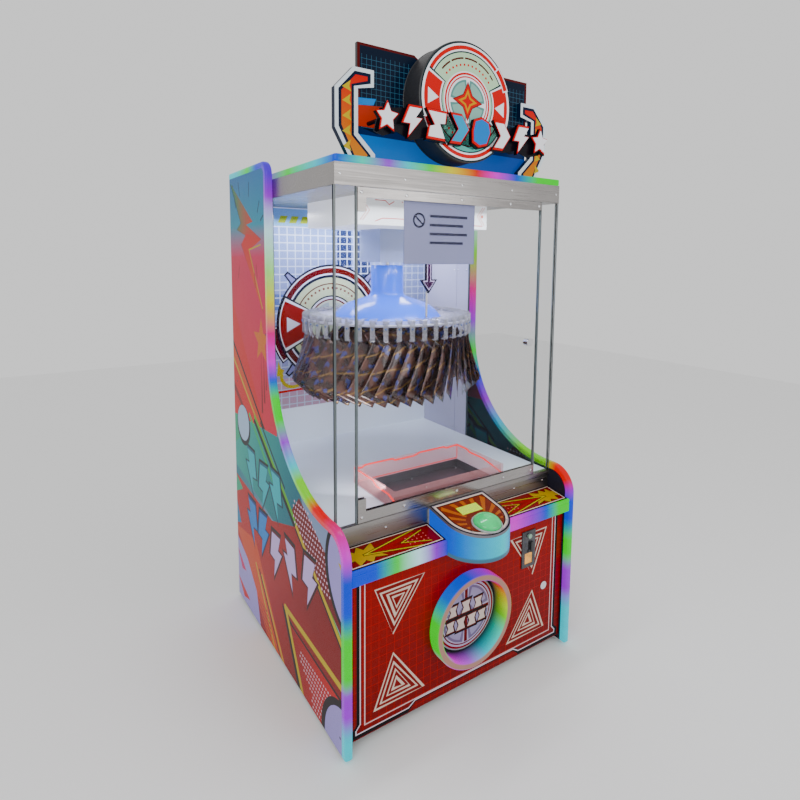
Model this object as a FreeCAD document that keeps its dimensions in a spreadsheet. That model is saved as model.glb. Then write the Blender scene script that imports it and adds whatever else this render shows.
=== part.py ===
import FreeCAD, Part
import math
import os
import re
import sys

import Sketcher

# Prize-drop carousel machine: a cabinet with two shaped side panels, a control deck with one push
# button, a glass case with a turning ring of clipped prizes, and a marquee on the header.
# Millimetres. X runs along the front, Y from the front to the rear, Z up from the ground. The
# origin is on the ground, below the middle of the machine's outer box.

doc = FreeCAD.newDocument("prize_drop_machine")

# Driving sizes. "recess" and "depth" values are measured back from the front edge of the side
# panels, heights are measured up from the ground unless the name says otherwise.
SIZES = {
    # cabinet
    "width": 900, "side_depth": 944, "panel_height": 1691, "panel_thick": 24, "ground_gap": 12,
    "led_depth": 22, "shoulder_height": 652, "shoulder_radius": 88, "sweep_start": 121,
    "sweep_radius": 425, "top_radius": 45, "board_thick": 18, "sheet_thick": 2,
    # glass case and header
    "box_recess": 98, "glass_low": 625, "glass_height": 946, "header_height": 79,
    "header_led_height": 20, "header_led_out": 4, "glass_thick": 6, "hinge_strip": 66,
    "lock_strip": 80, "strip_gap": 3, "rail_height": 28, "lower_rail": 34, "patch_width": 26,
    "patch_drop": 38, "rail_thick": 14, "pivot_inset": 15, "pivot_radius": 4, "running_gap": 0.3,
    "cylinder_radius": 12, "lock_inset": 33, "lock_height": 472,
    # deck and console
    "deck_front_height": 549, "deck_rear_height": 561.5, "deck_recess": 10, "apron_recess": 106,
    "deck_thick": 12, "deck_led_height": 45, "console_reach": 99, "console_width": 216,
    "console_rear_height": 620, "console_slope": 9.81, "console_low": 502, "console_wall": 6,
    "console_plate": 8, "window_width": 80, "window_depth": 38, "window_recess": 35,
    "button_reach": 48, "bezel_radius": 48, "bezel_height": 5, "dome_radius": 42,
    "dome_height": 26, "button_travel": 4, "dome_stem": 9, "switch_radius": 22,
    "switch_tall": 30, "switch_bridge": 4, "bridge_half": 20, "web_gap": 0.4,
    # front door
    "door_recess": 29.5, "door_low": 31, "door_gap": 2, "outlet_height": 258,
    "outlet_radius": 150, "outlet_bore": 128, "outlet_proud": 41, "outlet_sleeve": 5,
    "flap_radius": 116.5, "flap_thick": 5, "flap_lift": 120, "flap_tab": 30, "lug_width": 8,
    "coin_offset": 257.5, "coin_height": 405, "coin_width": 61, "coin_tall": 127,
    "coin_proud": 4, "coin_gate": 5.4, "coin_pass": 34, "reject_lift": 47, "reject_radius": 8,
    "reject_travel": 3, "cup_half": 17, "cup_top": 14, "cup_low": 52, "mech_half": 19.7,
    "mech_top": 49.7, "mech_low": 56.7, "mech_depth": 94, "front_lock_offset": 338,
    "front_lock_height": 247, "knuckle_radius": 3.8,
    # inside
    "floor_height": 622, "back_wall_recess": 880, "back_wall_thick": 12, "pane_lap": 20,
    "hopper_half": 217, "hopper_front": 127, "hopper_rear": 372, "fence_height": 58, "fence_thick": 5,
    "tray_drop": 28, "drop_half": 146, "drop_front": 130, "drop_rear": 254, "chute_wall": 3,
    "chute_neck": 490, "chute_rise": 34, "chute_lip": 6, "light_box_half": 260, "light_box_front": 281,
    "light_box_rear": 650, "light_box_drop": 89, "light_wall": 4,
    # carousel
    "carousel_recess": 530, "clip_count": 45, "ring_top": 1167, "ring_radius": 306,
    "ring_thick": 8, "housing_half": 75, "housing_drop": 118, "neck_radius": 60,
    "neck_top": 1359, "dome_top": 1240, "dome_shoulder": 1212, "dome_shoulder_radius": 155,
    "dome_rim_radius": 200, "dome_wall": 4, "clip_width": 22, "clip_pivot_in": 9,
    "clip_pivot_height": 13, "pivot_barrel": 4, "jaw_width": 16, "jaw_thick": 4,
    "jaw_lever": 48, "jaw_drop": 68, "jaw_toe": 15, "packet_width": 104, "packet_tall": 190,
    "packet_thick": 3, "packet_swing": 22, "packet_turn": 26, "packet_inset": 6,
    "shaft_radius": 8, "pointer_recess": 272, "pointer_width": 66, "pointer_tip": 1264,
    "pointer_thick": 8, "plunger_radius": 4, "plunger_overlap": 19,
    "coil_drop": 62, "coil_half": 14, "motor_half": 45, "motor_drop": 78,
    # marquee
    "plate_recess": 165, "plate_thick": 12, "plate_half": 322, "plate_height": 317,
    "disc_radius": 172, "disc_height": 186, "disc_recess": 80,
    "bracket_outer": 400, "bracket_inner": 300, "bracket_height": 243, "bracket_recess": 146,
    "bracket_thick": 19, "badge_recess": 60, "badge_thick": 20, "badge_low": 55,
    "badge_tall": 96, "badge_width": 68, "badge_span": 642,
    # rear and services
    "rear_inset": 9, "service_half": 360, "service_low": 72, "service_high": 560,
    "service_knuckle": 4, "foot_radius": 20, "foot_inset": 70, "foot_pad": 10,
    "base_height": 40, "cash_width": 130, "cash_depth": 160, "cash_tall": 110, "cash_recess": 72,
    "service_gap": 3, "inlet_inset": 12, "inlet_width": 30, "inlet_rise": 20, "inlet_tall": 72,
    "inlet_depth": 10, "inlet_proud": 2, "vent_half": 60, "vent_tall": 6, "vent_pitch": 16,
    "vent_drop": 60, "supply_width": 215, "supply_depth": 115, "supply_tall": 50,
    "board_wide": 200, "board_deep": 150, "board_tall": 45, "speaker_radius": 50,
    "speaker_depth": 60,
}

# Places worked out from the sizes; each formula uses sizes and earlier places.
PLACES = {
    "half": "width / 2",
    "inner": "half - panel_thick",
    "front": "-(side_depth - console_reach) / 2",
    "rear": "front + side_depth",
    "upper_front": "front + sweep_start + sweep_radius",
    "box_front": "front + box_recess",
    "glass_back": "box_front + (rail_thick + glass_thick) / 2",
    "glass_face": "box_front + (rail_thick - glass_thick) / 2",
    "header_low": "glass_low + glass_height",
    "header_top": "header_low + header_height",
    "apron_face": "front + apron_recess",
    "door_face": "front + door_recess",
    "door_back": "door_face + board_thick",
    "door_high": "deck_front_height - deck_led_height - 5",
    "door_half": "inner - door_gap",
    "nose_y": "front - console_reach + console_width / 2",
    "back_wall": "front + back_wall_recess",
    "axis_y": "front + carousel_recess",
    "rear_face": "rear - rear_inset",
    "rear_board": "rear_face - board_thick",
    "base_top": "base_height + board_thick",
    "floor_under": "floor_height - board_thick",
    "tray_top": "floor_height - tray_drop",
    "door_left": "-inner + hinge_strip + strip_gap",
    "door_right": "inner - lock_strip - strip_gap",
    "lid_top": "header_top - header_led_height",
    "pane_rear": "upper_front + pane_lap",
    "pivot_x": "door_left + pivot_inset",
    "pivot_y": "box_front + rail_thick / 2",
    "light_low": "header_low - light_box_drop",
    "housing_low": "light_low - housing_drop",
    "bottom": "ground_gap",
    "clip_pivot_y": "axis_y - ring_radius + clip_pivot_in",
    "clip_pivot_z": "ring_top + clip_pivot_height",
    "plunger_y": "front + pointer_recess + plunger_radius + 2",
    "plunger_tip": "clip_pivot_z + jaw_thick / 2 + 1",
    "plate_face": "front + plate_recess",
    "flap_axis": "outlet_height + flap_lift",
    "flap_y": "door_back - flap_thick - 1",
    "return_axis_y": "door_face - 2",
    "return_axis_z": "coin_height - cup_top - 1.7",
    "inlet_low": "service_low + inlet_rise",
    "inlet_left": "-inner + inlet_inset",
    "rocker_axis_z": "inlet_low + 53",
    "service_axis_x": "-service_half - 2",
    "service_axis_y": "rear_face + service_knuckle + 0.3",
    "front_axis_x": "-inner + knuckle_radius + running_gap",
    "front_axis_y": "door_face - knuckle_radius - 0.3",
}


def make_sheet(name, cells, as_formula):
    """A spreadsheet whose column A holds one aliased cell for each entry."""
    sheet = doc.addObject("Spreadsheet::Sheet", name)
    for row, (alias, content) in enumerate(cells.items(), start=1):
        cell = "A%d" % row
        sheet.set(cell, "=" + qualified(content) if as_formula else str(content))
        sheet.setAlias(cell, alias)
    return sheet


def qualified(text):
    """The expression with each bare cell name given its sheet, so size.width for width."""
    def owner(match):
        word = match.group(0)
        if word in SIZES:
            return "size." + word
        if word in PLACES:
            return "place." + word
        return word
    return re.sub(r"[a-z_]+", owner, str(text))


size = make_sheet("size", SIZES, as_formula=False)
place = make_sheet("place", PLACES, as_formula=True)
doc.recompute()


def cell(alias):
    """The number in a cell of either sheet."""
    return float((size if alias in SIZES else place).get(alias))


def bind(obj, **texts):
    """Tie properties to expressions; a double underscore in a name stands for a dot."""
    for name, text in texts.items():
        obj.setExpression(name.replace("__", "."), qualified(text))
    return obj


def box(name, x, y, z):
    """A block between a low and a high plane along each axis, each given as an expression."""
    block = doc.addObject("Part::Box", name)
    for axis, side, (low, high) in zip("xyz", ("Length", "Width", "Height"), (x, y, z)):
        block.setExpression("Placement.Base." + axis, qualified(low))
        block.setExpression(side, qualified("(%s) - (%s)" % (high, low)))
    return block


TURNS = {
    "x": FreeCAD.Rotation(FreeCAD.Vector(0, 1, 0), 90),
    "y": FreeCAD.Rotation(FreeCAD.Vector(1, 0, 0), -90),
    "z": FreeCAD.Rotation(),
}


def rod(name, along, radius, start, length, x="0", y="0", z="0"):
    """A cylinder along one axis from its start plane; the other two places are its centre."""
    bar = doc.addObject("Part::Cylinder", name)
    bar.Placement = FreeCAD.Placement(FreeCAD.Vector(), TURNS[along])
    at = {"x": x, "y": y, "z": z}
    at[along] = start
    bind(bar, Radius=radius, Height=length)
    for axis in "xyz":
        bar.setExpression("Placement.Base." + axis, qualified(at[axis]))
    return bar


def fuse(name, *pieces):
    union = doc.addObject("Part::MultiFuse", name)
    union.Shapes = list(pieces)
    union.Refine = True
    return union


def cut(name, base, *tools):
    difference = doc.addObject("Part::Cut", name)
    difference.Base = base
    difference.Tool = tools[0] if len(tools) == 1 else fuse(name + "_tools", *tools)
    return difference


def common(name, first, second):
    shared = doc.addObject("Part::Common", name)
    shared.Base = first
    shared.Tool = second
    return shared


def group(name, *pieces):
    """Separate solids that share one node."""
    bundle = doc.addObject("Part::Compound", name)
    bundle.Links = list(pieces)
    return bundle


def mirrored(name, source):
    twin = doc.addObject("Part::Mirroring", name)
    twin.Source = source
    twin.Normal = (1, 0, 0)
    return twin


def sketch_profile(body, name, role, corners):
    """A closed polygon in one of the body's own planes, each corner tied to the sheets."""
    sketch = body.newObject("Sketcher::SketchObject", name)
    plane = [item for item in body.Origin.OriginFeatures if item.Role == role][0]
    sketch.AttachmentSupport = [(plane, "")]
    sketch.MapMode = "FlatFace"
    count = len(corners)
    spots = []
    for index in range(count):
        angle = 2 * math.pi * index / count
        spots.append(FreeCAD.Vector(100 * math.cos(angle), 100 * math.sin(angle), 0))
    lines = [Part.LineSegment(spots[i], spots[(i + 1) % count]) for i in range(count)]
    sketch.addGeometry(lines, False)
    for index in range(count):
        sketch.addConstraint(Sketcher.Constraint("Coincident", index, 2, (index + 1) % count, 1))
    for index, corner in enumerate(corners):
        for kind, text in zip(("DistanceX", "DistanceY"), corner):
            number = sketch.addConstraint(Sketcher.Constraint(kind, -1, 1, index, 1, 10.0))
            sketch.setExpression("Constraints[%d]" % number, qualified(text))
    return sketch


def plate(name, role, corners, thickness, offset="0", midplane=False):
    """A PartDesign body: a polygon padded across its plane from an offset."""
    body = doc.addObject("PartDesign::Body", name)
    sketch = sketch_profile(body, name + "_outline", role, corners)
    sketch.setExpression("AttachmentOffset.Base.z", qualified(offset))
    pad = body.newObject("PartDesign::Pad", name + "_pad")
    pad.Profile = sketch
    pad.setExpression("Length", qualified(thickness))
    pad.Midplane = midplane
    return body


def turned(name, corners, x="0", y="0", z="0"):
    """A PartDesign body of revolution about Z: radius and height pairs give the profile."""
    body = doc.addObject("PartDesign::Body", name)
    sketch = sketch_profile(body, name + "_profile", "XZ_Plane", corners)
    revolution = body.newObject("PartDesign::Revolution", name + "_turn")
    revolution.Profile = sketch
    revolution.ReferenceAxis = (sketch, ["V_Axis"])
    revolution.Angle = 360
    for axis, text in zip("xyz", (x, y, z)):
        body.setExpression("Placement.Base." + axis, qualified(text))
    return body


NODES = {}


def node(name, obj):
    """Name a finished sub-part; the name is also its file name."""
    obj.Label = name
    NODES[name] = obj
    return obj


# ---------------------------------------------------------------- side panels and light strips

def side_shape(name, inset):
    """Outline of a side panel, its front and top edges moved in by the inset."""
    face, top = "front + %s" % inset, "panel_height - %s" % inset
    upper, shelf = "upper_front + %s" % inset, "shoulder_height - %s" % inset
    across = ("-half", "-inner")
    foot_y = "front + shoulder_radius"
    pieces = [
        box(name + "_low", across, (face, "rear"), ("bottom", "shoulder_height - shoulder_radius")),
        box(name + "_shelf", across, (foot_y, "rear"), ("shoulder_height - shoulder_radius", shelf)),
        rod(name + "_corner", "x", "shoulder_radius - %s" % inset, "-half", "panel_thick",
            y=foot_y, z="shoulder_height - shoulder_radius"),
        box(name + "_high", across, (upper, "rear"), (shelf, "panel_height - top_radius")),
        box(name + "_crown", across, ("upper_front + top_radius", "rear"), (shelf, top)),
        rod(name + "_crest", "x", "top_radius - %s" % inset, "-half", "panel_thick",
            y="upper_front + top_radius", z="panel_height - top_radius"),
    ]
    fill = box(name + "_fill", across, ("front + sweep_start", upper),
               (shelf, "shoulder_height + sweep_radius"))
    scoop = rod(name + "_scoop", "x", "sweep_radius + %s" % inset, "-half - 1", "panel_thick + 2",
                y="front + sweep_start", z="shoulder_height + sweep_radius")
    pieces.append(cut(name + "_sweep", fill, scoop))
    return fuse(name + "_shape", *pieces)


side_left = node("side_panel_left", side_shape("panel", "led_depth"))
node("side_panel_right", mirrored("side_right", side_left))
led_left = cut("led_left", side_shape("rim", "0"), side_shape("rim_inner", "led_depth"))
node("side_leds", group("leds", led_left, mirrored("led_right", led_left)))

# ---------------------------------------------------------------- base, feet, rear

node("base_board", box("base", ("-inner", "inner"), ("door_back + 20", "rear_board"),
                       ("base_height", "base_top")))


def foot(name, x, y):
    pad = rod(name + "_pad", "z", "foot_radius", "0", "foot_pad", x=x, y=y)
    stem = rod(name + "_stem", "z", "foot_radius / 4", "foot_pad", "base_height - foot_pad", x=x, y=y)
    return fuse(name, pad, stem)


feet = []
for side in ("-", ""):
    for tag, depth in (("front", "front + foot_inset + 50"), ("rear", "rear - foot_inset")):
        feet.append(foot("foot_%s_%s" % ("left" if side else "right", tag),
                         "%s(inner - foot_inset)" % side, depth))
node("levelling_feet", group("feet", *feet))

rear_sheet = box("rear_sheet", ("-inner", "inner"), ("rear_board", "rear_face"),
                 ("base_height", "header_top"))
through_rear = ("rear_board - 1", "rear_face + 1")
service_hole = box("service_hole", ("-service_half - service_gap", "service_half + service_gap"),
                   through_rear, ("service_low - service_gap", "service_high + service_gap"))
inlet_x = ("inlet_left", "inlet_left + inlet_width")
inlet_z = ("inlet_low", "inlet_low + inlet_tall")
inlet_hole = box("inlet_hole", inlet_x, through_rear, inlet_z)
vents = []
for k in range(6):
    vent_low = "header_low - vent_drop - %d * vent_pitch" % k
    vents.append(box("vent_%d" % k, ("-vent_half", "vent_half"), through_rear,
                     (vent_low, vent_low + " + vent_tall")))
node("rear_panel", cut("rear_wall", rear_sheet, service_hole, inlet_hole, *vents))

service_sheet = box("service_sheet", ("-service_half", "service_half"),
                    ("rear_board", "rear_face"), ("service_low", "service_high"))
service_bore = rod("service_bore", "y", "cylinder_radius + running_gap", "rear_board - 1",
                   "board_thick + 2", x="service_half - 30", z="(service_low + service_high) / 2")
node("rear_door", cut("service_door", service_sheet, service_bore))


def cam_lock(name, x, z, face, direction, body_length, cam_reach, cam_drop):
    """A lock cylinder through a panel with a flat cam behind it, as one turning piece."""
    sign = "" if direction > 0 else "-"
    low = face if direction > 0 else "%s - (%s)" % (face, body_length)
    barrel = rod(name + "_barrel", "y", "cylinder_radius", low, body_length, x=x, z=z)
    collar_low = "%s - 2" % face if direction > 0 else face
    collar = rod(name + "_collar", "y", "cylinder_radius + 2", collar_low, "2", x=x, z=z)
    near = "%s + %s(%s)" % (face, sign, body_length)
    span = (near + " - 4", near) if direction > 0 else (near, near + " + 4")
    cam = box(name + "_cam", ("%s - 7" % x, "%s + 7" % x) if cam_drop else
              ("%s - 7" % x, "%s + %s" % (x, cam_reach)), span,
              ("%s - %s" % (z, cam_reach), "%s + 7" % z) if cam_drop else
              ("%s - 7" % z, "%s + 7" % z))
    return fuse(name, barrel, collar, cam)


node("rear_lock", cam_lock("service_lock", "service_half - 30", "(service_low + service_high) / 2",
                           "rear_face", -1, "board_thick + 8", "28", False))
service_hinge = rod("service_hinge", "z", "service_knuckle", "service_low",
                    "service_high - service_low", x="service_axis_x", y="service_axis_y")

inlet_block = box("inlet_block", inlet_x, ("rear_board - inlet_depth", "rear_face + inlet_proud"), inlet_z)
inlet_well = box("inlet_well", ("inlet_left + 4", "inlet_left + inlet_width - 4"),
                 ("rear_face - 14", "rear_face + 3"), ("inlet_low + 4", "inlet_low + 30"))
rocker_well = box("rocker_well", ("inlet_left + 6", "inlet_left + inlet_width - 6"),
                  ("rear_face - 8", "rear_face + 3"), ("rocker_axis_z - 13", "rocker_axis_z + 13"))
node("power_inlet", cut("inlet", inlet_block, inlet_well, rocker_well))
rocker_cap = box("rocker_cap", ("inlet_left + 6.5", "inlet_left + inlet_width - 6.5"),
                 ("rear_face - 5", "rear_face + 3"), ("rocker_axis_z - 11", "rocker_axis_z + 11"))
rocker_pin = rod("rocker_pin", "x", "1.5", "inlet_left + 6", "inlet_width - 12",
                 y="rear_face - 5", z="rocker_axis_z")
node("power_rocker", fuse("rocker", rocker_cap, rocker_pin))

# ---------------------------------------------------------------- header and marquee

header_outer = box("header_outer", ("-inner", "inner"), ("box_front", "rear_board"),
                   ("header_low", "header_top - header_led_height"))
header_inner = box("header_inner", ("-inner + sheet_thick", "inner - sheet_thick"),
                   ("box_front + sheet_thick", "rear_board + 1"),
                   ("header_low + 6", "header_top - header_led_height - sheet_thick"))
node("header_shell", cut("header", header_outer, header_inner))
led_block = box("led_block", ("-inner", "inner"), ("box_front - header_led_out", "rear_board"),
                ("header_top - header_led_height", "header_top"))
led_well = box("led_well", ("-inner + 16", "inner - 16"), ("box_front + 14", "rear_board + 1"),
               ("header_top - header_led_height - 1", "header_top + 1"))
node("header_led", cut("header_strip", led_block, led_well))
light_shell = box("light_shell", ("-light_box_half", "light_box_half"),
                  ("front + light_box_front", "front + light_box_rear"),
                  ("light_low", "header_low"))
light_room = box("light_room", ("-light_box_half + light_wall", "light_box_half - light_wall"),
                 ("front + light_box_front + light_wall", "front + light_box_rear - light_wall"),
                 ("light_low + light_wall", "header_low - light_wall"))
node("light_box", cut("light", light_shell, light_room))

roof_z = "lid_top"
node("marquee_plate", plate("marquee_back", "XZ_Plane", [
    ("-plate_half", roof_z), ("plate_half", roof_z),
    ("plate_half", "header_top + plate_height"), ("plate_half - 188", "header_top + plate_height"),
    ("plate_half - 222", "header_top + plate_height - 22"),
    ("-plate_half + 222", "header_top + plate_height - 22"),
    ("-plate_half + 188", "header_top + plate_height"), ("-plate_half", "header_top + plate_height"),
], "plate_thick", "-(plate_face + plate_thick)"))
node("marquee_disc", rod("disc_round", "y", "disc_radius", "front + disc_recess",
                         "plate_recess - disc_recess", z="header_top + disc_height"))

reach = "header_top + bracket_height"
bracket_left = plate("bracket_left", "XZ_Plane", [
    ("-bracket_inner", roof_z), ("-bracket_inner + 24", roof_z), ("-bracket_inner + 24", "header_top + 18"),
    ("-bracket_inner - 30", "header_top + 70"), ("-bracket_inner - 30", reach + " - 55"),
    ("-bracket_inner + 20", reach + " - 45"), ("-bracket_inner + 20", reach),
    ("-bracket_outer + 56", reach), ("-bracket_outer", reach + " - 60"),
    ("-bracket_outer", "header_top + 78"), ("-bracket_outer + 56", roof_z),
], "bracket_thick", "-(front + bracket_recess + bracket_thick)")
node("marquee_brackets", group("brackets", bracket_left, mirrored("bracket_right", bracket_left)))

badges = []
for k in range(8):
    middle = "-badge_span / 2 + badge_width / 2 + %d * (badge_span - badge_width) / 7" % k
    low, high = "header_top + badge_low", "header_top + badge_low + badge_tall"
    badge = plate("badge_%d" % k, "XZ_Plane", [
        (middle + " - badge_width * 0.3", low), (middle + " + badge_width * 0.5", low),
        (middle + " + badge_width * 0.3", high), (middle + " - badge_width * 0.5", high),
    ], "badge_thick", "-(front + badge_recess + badge_thick)")
    badges.append(badge)
for k in (0, 1, 6, 7):
    middle = "-badge_span / 2 + badge_width / 2 + %d * (badge_span - badge_width) / 7" % k
    badges[k] = fuse("badge_post_%d" % k, badges[k],
                     rod("post_%d" % k, "y", "6", "front + badge_recess + badge_thick",
                         "plate_recess - badge_recess - badge_thick", x=middle,
                         z="header_top + badge_low + badge_tall / 2"))
node("marquee_badges", group("badges", *badges))

# ---------------------------------------------------------------- glass case

pane_z = ("glass_low", "header_low")
side_pane = box("side_pane", ("-inner", "-inner + glass_thick"), ("glass_back", "pane_rear"), pane_z)
node("side_glass", group("side_panes", side_pane, mirrored("side_pane_right", side_pane)))
corner_left = box("corner_left", ("-inner", "-inner + hinge_strip"), ("glass_face", "glass_back"), pane_z)
corner_right = box("corner_right", ("inner - lock_strip", "inner"), ("glass_face", "glass_back"), pane_z)
node("corner_glass", group("corners", corner_left, corner_right))

lock_x, lock_z = "door_right - lock_inset", "glass_low + lock_height"
pane = box("door_sheet", ("door_left", "door_right"), ("glass_face", "glass_back"),
           ("glass_low + lower_rail - 14", "header_low - rail_height + 12"))
pane_bore = rod("pane_bore", "y", "cylinder_radius + running_gap", "glass_face - 1", "glass_thick + 2",
                x=lock_x, z=lock_z)
node("glass_door", cut("door_pane", pane, pane_bore))


def rail(name, low, high, patch_low, patch_high):
    """A clamp rail across the pane with a tall patch at the hinge end, slotted for the glass."""
    across = ("box_front", "box_front + rail_thick")
    bar = box(name + "_bar", ("door_left", "door_right"), across, (low, high))
    patch = box(name + "_patch", ("door_left", "door_left + patch_width"), across,
                (patch_low, patch_high))
    return cut(name, fuse(name + "_whole", bar, patch),
               box(name + "_slot", ("door_left - 1", "door_right + 1"), ("glass_face", "glass_back"),
                   ("glass_low + lower_rail - 14", "header_low - rail_height + 12")))


rail_top = rail("rail_top", "header_low - rail_height", "header_low - 2",
                "header_low - rail_height - patch_drop", "header_low - 2")
rail_low = rail("rail_low", "glass_low + 2", "glass_low + lower_rail",
                "glass_low + 2", "glass_low + lower_rail + patch_drop")
pin_low = rod("pin_low", "z", "pivot_radius", "glass_low", "2", x="pivot_x", y="pivot_y")
pin_top = rod("pin_top", "z", "pivot_radius", "header_low - 2", "2", x="pivot_x", y="pivot_y")
node("door_rails", group("rails", fuse("rail_top_pinned", rail_top, pin_top),
                         fuse("rail_low_pinned", rail_low, pin_low)))
glass_cam = cam_lock("case_lock", lock_x, lock_z, "glass_face", 1, "glass_thick + 14",
                     "lock_inset - 2", False)
node("glass_lock", glass_cam)
sill = box("sill", ("-inner", "inner"), ("box_front", "glass_back + 6"), ("glass_low - 14", "glass_low"))

# ---------------------------------------------------------------- play field and hopper

floor_sheet = box("floor_sheet", ("-inner", "inner"), ("glass_back + 6", "rear_board"),
                  ("floor_under", "floor_height"))
floor_hole = box("floor_hole", ("-hopper_half", "hopper_half"),
                 ("front + hopper_front", "front + hopper_rear"), ("floor_under - 1", "floor_height + 1"))
node("play_floor", cut("field_floor", floor_sheet, floor_hole))
node("back_wall", box("back_board", ("-inner", "inner"), ("back_wall", "back_wall + back_wall_thick"),
                      ("floor_height", "header_low")))

tray_outer = box("tray_outer", ("-hopper_half", "hopper_half"),
                 ("front + hopper_front", "front + hopper_rear"),
                 ("tray_top - sheet_thick", "floor_height"))
tray_inner = box("tray_inner", ("-hopper_half + sheet_thick", "hopper_half - sheet_thick"),
                 ("front + hopper_front + sheet_thick", "front + hopper_rear - sheet_thick"),
                 ("tray_top", "floor_height + 1"))
tray_slot = box("tray_slot", ("-drop_half", "drop_half"), ("front + drop_front", "front + drop_rear"),
                ("tray_top - sheet_thick - 1", "tray_top + 1"))
node("hopper_tray", cut("tray", tray_outer, tray_inner, tray_slot))

fence_outer = box("fence_outer", ("-hopper_half - fence_thick", "hopper_half + fence_thick"),
                  ("front + hopper_front - fence_thick", "front + hopper_rear + fence_thick"),
                  ("floor_height", "floor_height + fence_height"))
fence_inner = box("fence_inner", ("-hopper_half", "hopper_half"),
                  ("front + hopper_front", "front + hopper_rear"),
                  ("floor_height - 1", "floor_height + fence_height + 1"))
node("hopper_fence", cut("fence", fence_outer, fence_inner))

chute_x = "drop_half + chute_wall"
chute_floor = "outlet_height - outlet_bore - 14"
chute_y = ("door_back + 4", "front + drop_rear + chute_wall")
neck_y = ("front + drop_front - chute_wall", "front + drop_rear + chute_wall")
under_tray = "tray_top - sheet_thick"
chute_parts = []
for side, x in (("left", ("-(%s)" % chute_x, "-drop_half")), ("right", ("drop_half", chute_x))):
    chute_parts.append(box("chute_low_" + side, x, chute_y, (chute_floor, "chute_neck")))
    chute_parts.append(box("chute_neck_" + side, x, neck_y, ("chute_neck", under_tray)))
across_chute = ("-(%s)" % chute_x, chute_x)
chute_parts.append(box("chute_rear", across_chute,
                       ("front + drop_rear", "front + drop_rear + chute_wall"),
                       (chute_floor, under_tray)))
chute_parts.append(box("chute_brow", across_chute, ("door_back + 4", "door_back + 4 + chute_wall"),
                       ("outlet_height + outlet_bore + 12", "chute_neck")))
chute_parts.append(box("chute_lid", across_chute, ("door_back + 4", "front + drop_front"),
                       ("chute_neck - chute_wall", "chute_neck")))
chute_parts.append(box("chute_throat", across_chute,
                       ("front + drop_front - chute_wall", "front + drop_front"),
                       ("chute_neck", under_tray)))
ramp = plate("chute_ramp", "YZ_Plane", [
    ("door_back + 4", chute_floor), ("front + drop_rear + chute_wall", chute_floor),
    ("front + drop_rear + chute_wall", chute_floor + " + chute_rise"),
    ("door_back + 4", chute_floor + " + chute_lip"),
], "2 * (%s)" % chute_x, midplane=True)
chute_stand = box("stand", ("-60", "60"), ("front + 110", "front + 220"), ("base_top", chute_floor))
node("prize_chute", fuse("chute", *chute_parts, ramp, chute_stand))

# ---------------------------------------------------------------- deck, apron, console

deck_left = plate("deck_part", "YZ_Plane", [
    ("front + deck_recess", "deck_front_height - deck_thick"),
    ("apron_face", "deck_rear_height - deck_thick"),
    ("apron_face", "deck_rear_height"), ("front + deck_recess", "deck_front_height"),
], "inner - console_width / 2", "-inner")
node("deck_panels", group("deck", deck_left, mirrored("deck_right", deck_left)))
led_step = "deck_front_height - deck_led_height"
strip = box("deck_strip", ("-inner", "-console_width / 2"), ("front + 2", "front + deck_recess"),
            (led_step, "deck_front_height"))
backing = box("deck_backing", ("-inner", "-console_width / 2"),
              ("front + deck_recess", "front + deck_recess + 20"),
              (led_step, "deck_front_height - deck_thick - 0.2"))
strip_left = fuse("deck_strip_left", strip, backing)
node("deck_leds", group("deck_strips", strip_left, mirrored("deck_strip_right", strip_left)))
apron_sheet = box("apron_sheet", ("-inner", "inner"), ("apron_face", "apron_face + sheet_thick"),
                  ("deck_rear_height - deck_thick", "glass_low - 14"))
node("apron", fuse("apron_sill", apron_sheet, sill))


def console_block(name, inset, low, high):
    """The console's D outline, its straight sides running back to the apron."""
    radius = "console_width / 2 - (%s)" % inset
    nose = rod(name + "_nose", "z", radius, low, "(%s) - (%s)" % (high, low), y="nose_y")
    tail = box(name + "_tail", ("-(%s)" % radius, radius), ("nose_y", "apron_face"), (low, high))
    clear = box(name + "_clear", ("-half", "half"), ("nose_y - console_width", "apron_face"), (low, high))
    return common(name, fuse(name + "_whole", nose, tail), clear)


def sloped_slab(name, lift, thickness):
    """A wide slab parallel to the console's top; lift is measured up from the console's surface."""
    slab = doc.addObject("Part::Box", name)
    slab.Placement = FreeCAD.Placement(FreeCAD.Vector(), FreeCAD.Rotation(FreeCAD.Vector(1, 0, 0), 10))
    bind(slab, Placement__Rotation__Angle="console_slope", Length="width", Width="4 * console_width",
         Height=thickness, Placement__Base__x="-half",
         Placement__Base__y="apron_face - 3.5 * console_width * cos(console_slope)"
                            " - (%s) * sin(console_slope)" % lift,
         Placement__Base__z="console_rear_height - 3.5 * console_width * sin(console_slope)"
                            " + (%s) * cos(console_slope)" % lift)
    return slab


def console_rod(name, radius, lift, length, reach, x="0"):
    """A cylinder square to the console's top, reach in front of the side panels."""
    bar = doc.addObject("Part::Cylinder", name)
    bar.Placement = FreeCAD.Placement(FreeCAD.Vector(), FreeCAD.Rotation(FreeCAD.Vector(1, 0, 0), 10))
    bind(bar, Placement__Rotation__Angle="console_slope", Radius=radius, Height=length,
         Placement__Base__x=x,
         Placement__Base__y="front - (%s) - (%s) * sin(console_slope)" % (reach, lift),
         Placement__Base__z="console_rear_height - (apron_recess + (%s)) * tan(console_slope)"
                            " + (%s) * cos(console_slope)" % (reach, lift))
    return bar


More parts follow.
